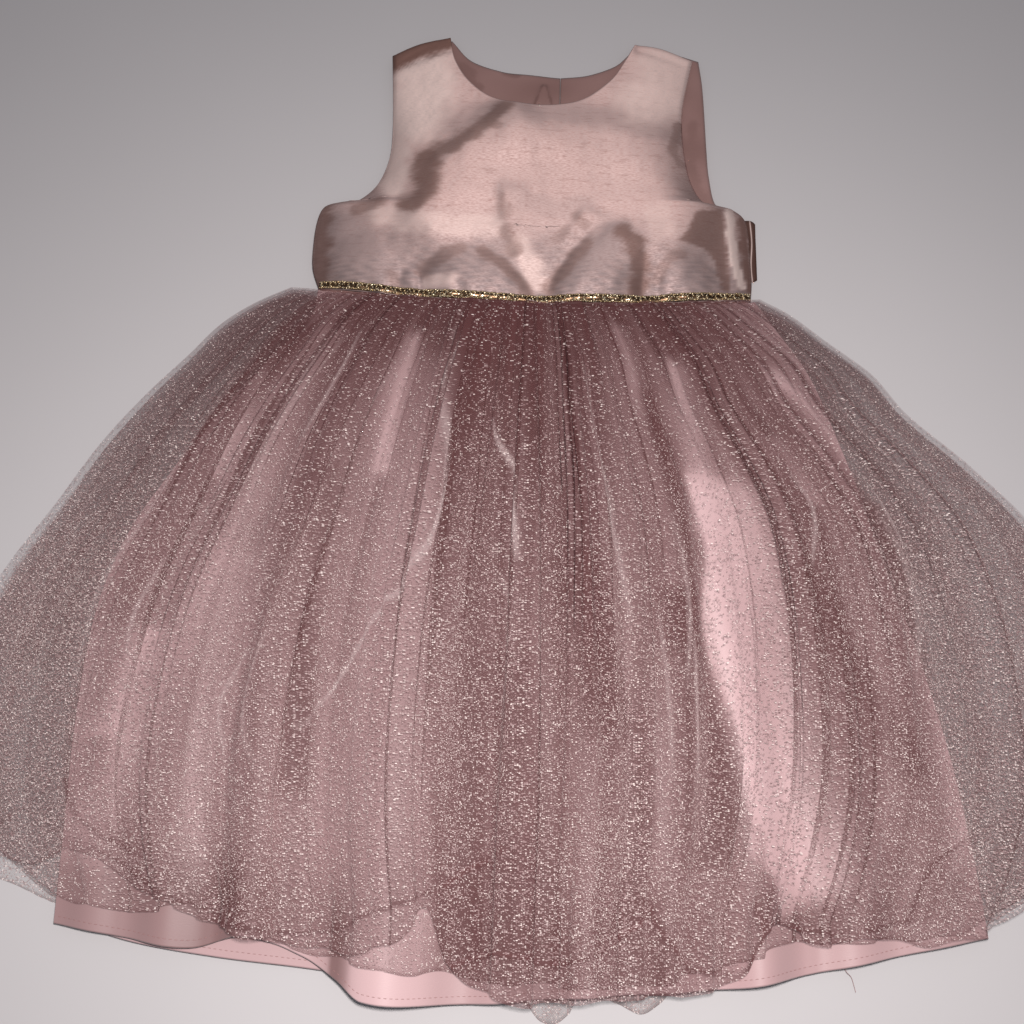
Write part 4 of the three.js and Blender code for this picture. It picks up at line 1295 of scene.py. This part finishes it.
def make_lining(name, node, hem, trim, grid, height, wrinkles, seed, hem_shade):
    columns, rows = grid
    share, x, y = skirt_plan(LINING_WIDTHS, HEMS[hem], trim, columns, rows)
    z = height(x, y) + WALL * 0.7
    drop = np.maximum(seam_at(share * WAIST_HALF) - y, 0)
    gathers = np.cos(math.pi * 40 * share + rolling(share * 100, drop, seed, 60)) * np.exp(-drop / 60)
    z = z + wrinkles * (0.5 * gathers + 0.35 * rolling(x, y * 0.35, seed, 42)
                        + 0.15 * rolling(x, y * 0.3, seed + 1, 17))
    points = hem_with_return(np.dstack([x, y, z]))
    # Painted shade towards the hem, as the table gives it
    near_hem = smoothstep(points[..., 1] - y[:1], 60, 20)
    piece = cloth_mesh(name, points, facts={"turned": near_hem * eased(hem_shade, points[..., 0])})
    finish_piece(piece, LINING_PINK, "lining_satin", node)
    return np.dstack([x, y, z])


def make_skirt_lining():
    front = make_lining("skirt_lining_front_satin", "skirt_lining_front", "lining_front", 1.0,
                        (420, 130), lining_front_height, 0.7,
                        31, LINING_FRONT_HEM_SHADE)
    # The back lining's hem gets an even painted shade
    back = make_lining("skirt_lining_back_satin", "skirt_lining_back", "lining_back", 0.995,
                       (200, 60), lambda x, y: np.full(np.shape(x), LAYER["skirt_back"]), 0.3,
                       41,
                       [(-250, 0.35), (250, 0.35)])
    make_hem_stitches("hem_stitches_front", front)
    make_hem_stitches("hem_stitches_back", back)
    make_loose_thread()


def make_hem_stitches(name, points):
    """Short machine stitches along a line a few millimetres above the hem."""
    edge = points[0]
    inward = points[1] - points[0]
    line = edge + inward / np.linalg.norm(inward, axis=1, keepdims=True) * STITCHES_ABOVE_HEM
    run = lengths_along(line)
    spots = np.arange(STITCH_PITCH, run[-1] - STITCH_PITCH, STITCH_PITCH)
    places = []
    for spot in spots:
        start, end = (
            np.array([np.interp(s, run, line[:, k]) for k in range(3)]) for s in (spot, spot + 1)
        )
        seat = Vector(start) + Vector((0, 0, 0.15))
        places.append(placed_at(seat, Vector(end - start), size=(0.9, 0.16, 0.12)))
    piece = joined_copies(name, round_bead(6, 4), places)
    finish_piece(piece, THREAD, "lining_satin")


def make_loose_thread():
    """A thread end that hangs out of the lining's hem on the right."""
    line = smooth_path([(170, -380, 6.0), (173, -385, 4.0), (176, -388, 2.0), (178, -395, 1.2)], 24)
    places = []
    for start, end in zip(line[:-1], line[1:]):
        middle = (start + end) / 2
        places.append(placed_at(Vector(middle), Vector(end - start), size=(0.5, 0.16, 0.16)))
    piece = joined_copies("loose_thread", round_bead(6, 4), places)
    finish_piece(piece, THREAD, "lining_satin")


# Floor, light and camera

def make_floor():
    bpy.ops.mesh.primitive_plane_add(size=6, location=(0, 0, -0.0004))
    floor = bpy.context.object
    floor.name = "floor"
    material, nodes, shader = new_material("pale floor")
    place = nodes.own_place()
    tone = use_group(nodes, UNEVEN, Place=place, Strength=0.4, Bumps_per_metre=3.0)["Tone"]
    face = nodes.blend(nodes.between(tone, -0.2, 0.2), (0.69, 0.655, 0.66, 1), (0.64, 0.605, 0.61, 1))
    nodes.feed(shader.inputs["Base Color"], face)
    set_plain(shader, Roughness=0.7)
    floor.data.materials.append(material)


# The camera looks down at the dress from over its hem, a little turned.
CAMERA_ABOVE = math.radians(73.0)
CAMERA_TURN = math.radians(-1.8)
CAMERA_DISTANCE = 650.0
CAMERA_LOOKS_AT = Vector((-9.5, -140.0, 6.0))
CAMERA_LENS = 38.95
CAMERA_SENSOR = 36.0


def camera_axes():
    forward = Vector((math.sin(CAMERA_TURN) * math.cos(CAMERA_ABOVE),
                      math.cos(CAMERA_TURN) * math.cos(CAMERA_ABOVE), -math.sin(CAMERA_ABOVE)))
    right = Vector((math.cos(CAMERA_TURN), -math.sin(CAMERA_TURN), 0))
    return right, right.cross(forward), forward


def in_metres(point):
    return (Vector(point) + Vector((0, WAIST_ABOVE_ORIGIN, 0))) * MM


def make_camera():
    right, up, forward = camera_axes()
    data = bpy.data.cameras.new("camera")
    data.lens = CAMERA_LENS
    data.sensor_width = CAMERA_SENSOR
    data.clip_start = 0.01
    camera = new_object("camera", data)
    turned = Matrix((right, up, -forward)).transposed().to_4x4()
    place = in_metres(CAMERA_LOOKS_AT - forward * CAMERA_DISTANCE)
    camera.matrix_world = Matrix.Translation(place) @ turned
    bpy.context.scene.camera = camera


def area_light(name, place, towards, size, watts, colour):
    data = bpy.data.lights.new(name, "AREA")
    data.size = size
    data.energy = watts
    data.color = colour
    lamp = new_object(name, data)
    lamp.location = in_metres(place)
    aim = in_metres(towards) - lamp.location
    lamp.rotation_euler = aim.to_track_quat("-Z", "Y").to_euler()


def light_scene():
    area_light("key", (16, -285, 640), (0, -380, 0), 0.05, 4.15, (1.0, 0.965, 0.95))
    world = bpy.data.worlds.new("soft room")
    bpy.context.scene.world = world
    world.use_nodes = True
    ground = world.node_tree.nodes["Background"]
    ground.inputs["Color"].default_value = (0.9, 0.92, 1.0, 1)
    ground.inputs["Strength"].default_value = 0.19


make_camera()
make_bodice_front()
for back_side in ("left", "right"):
    make_back_half(back_side)
make_sash()
make_braid()
make_skirt_lining()
make_skirt_tulle()
make_floor()
light_scene()
cycles = bpy.context.scene.cycles
cycles.transparent_max_bounces = 32
cycles.max_bounces = 2
cycles.diffuse_bounces = 1
cycles.glossy_bounces = 1
bpy.context.scene.view_settings.view_transform = "Standard"
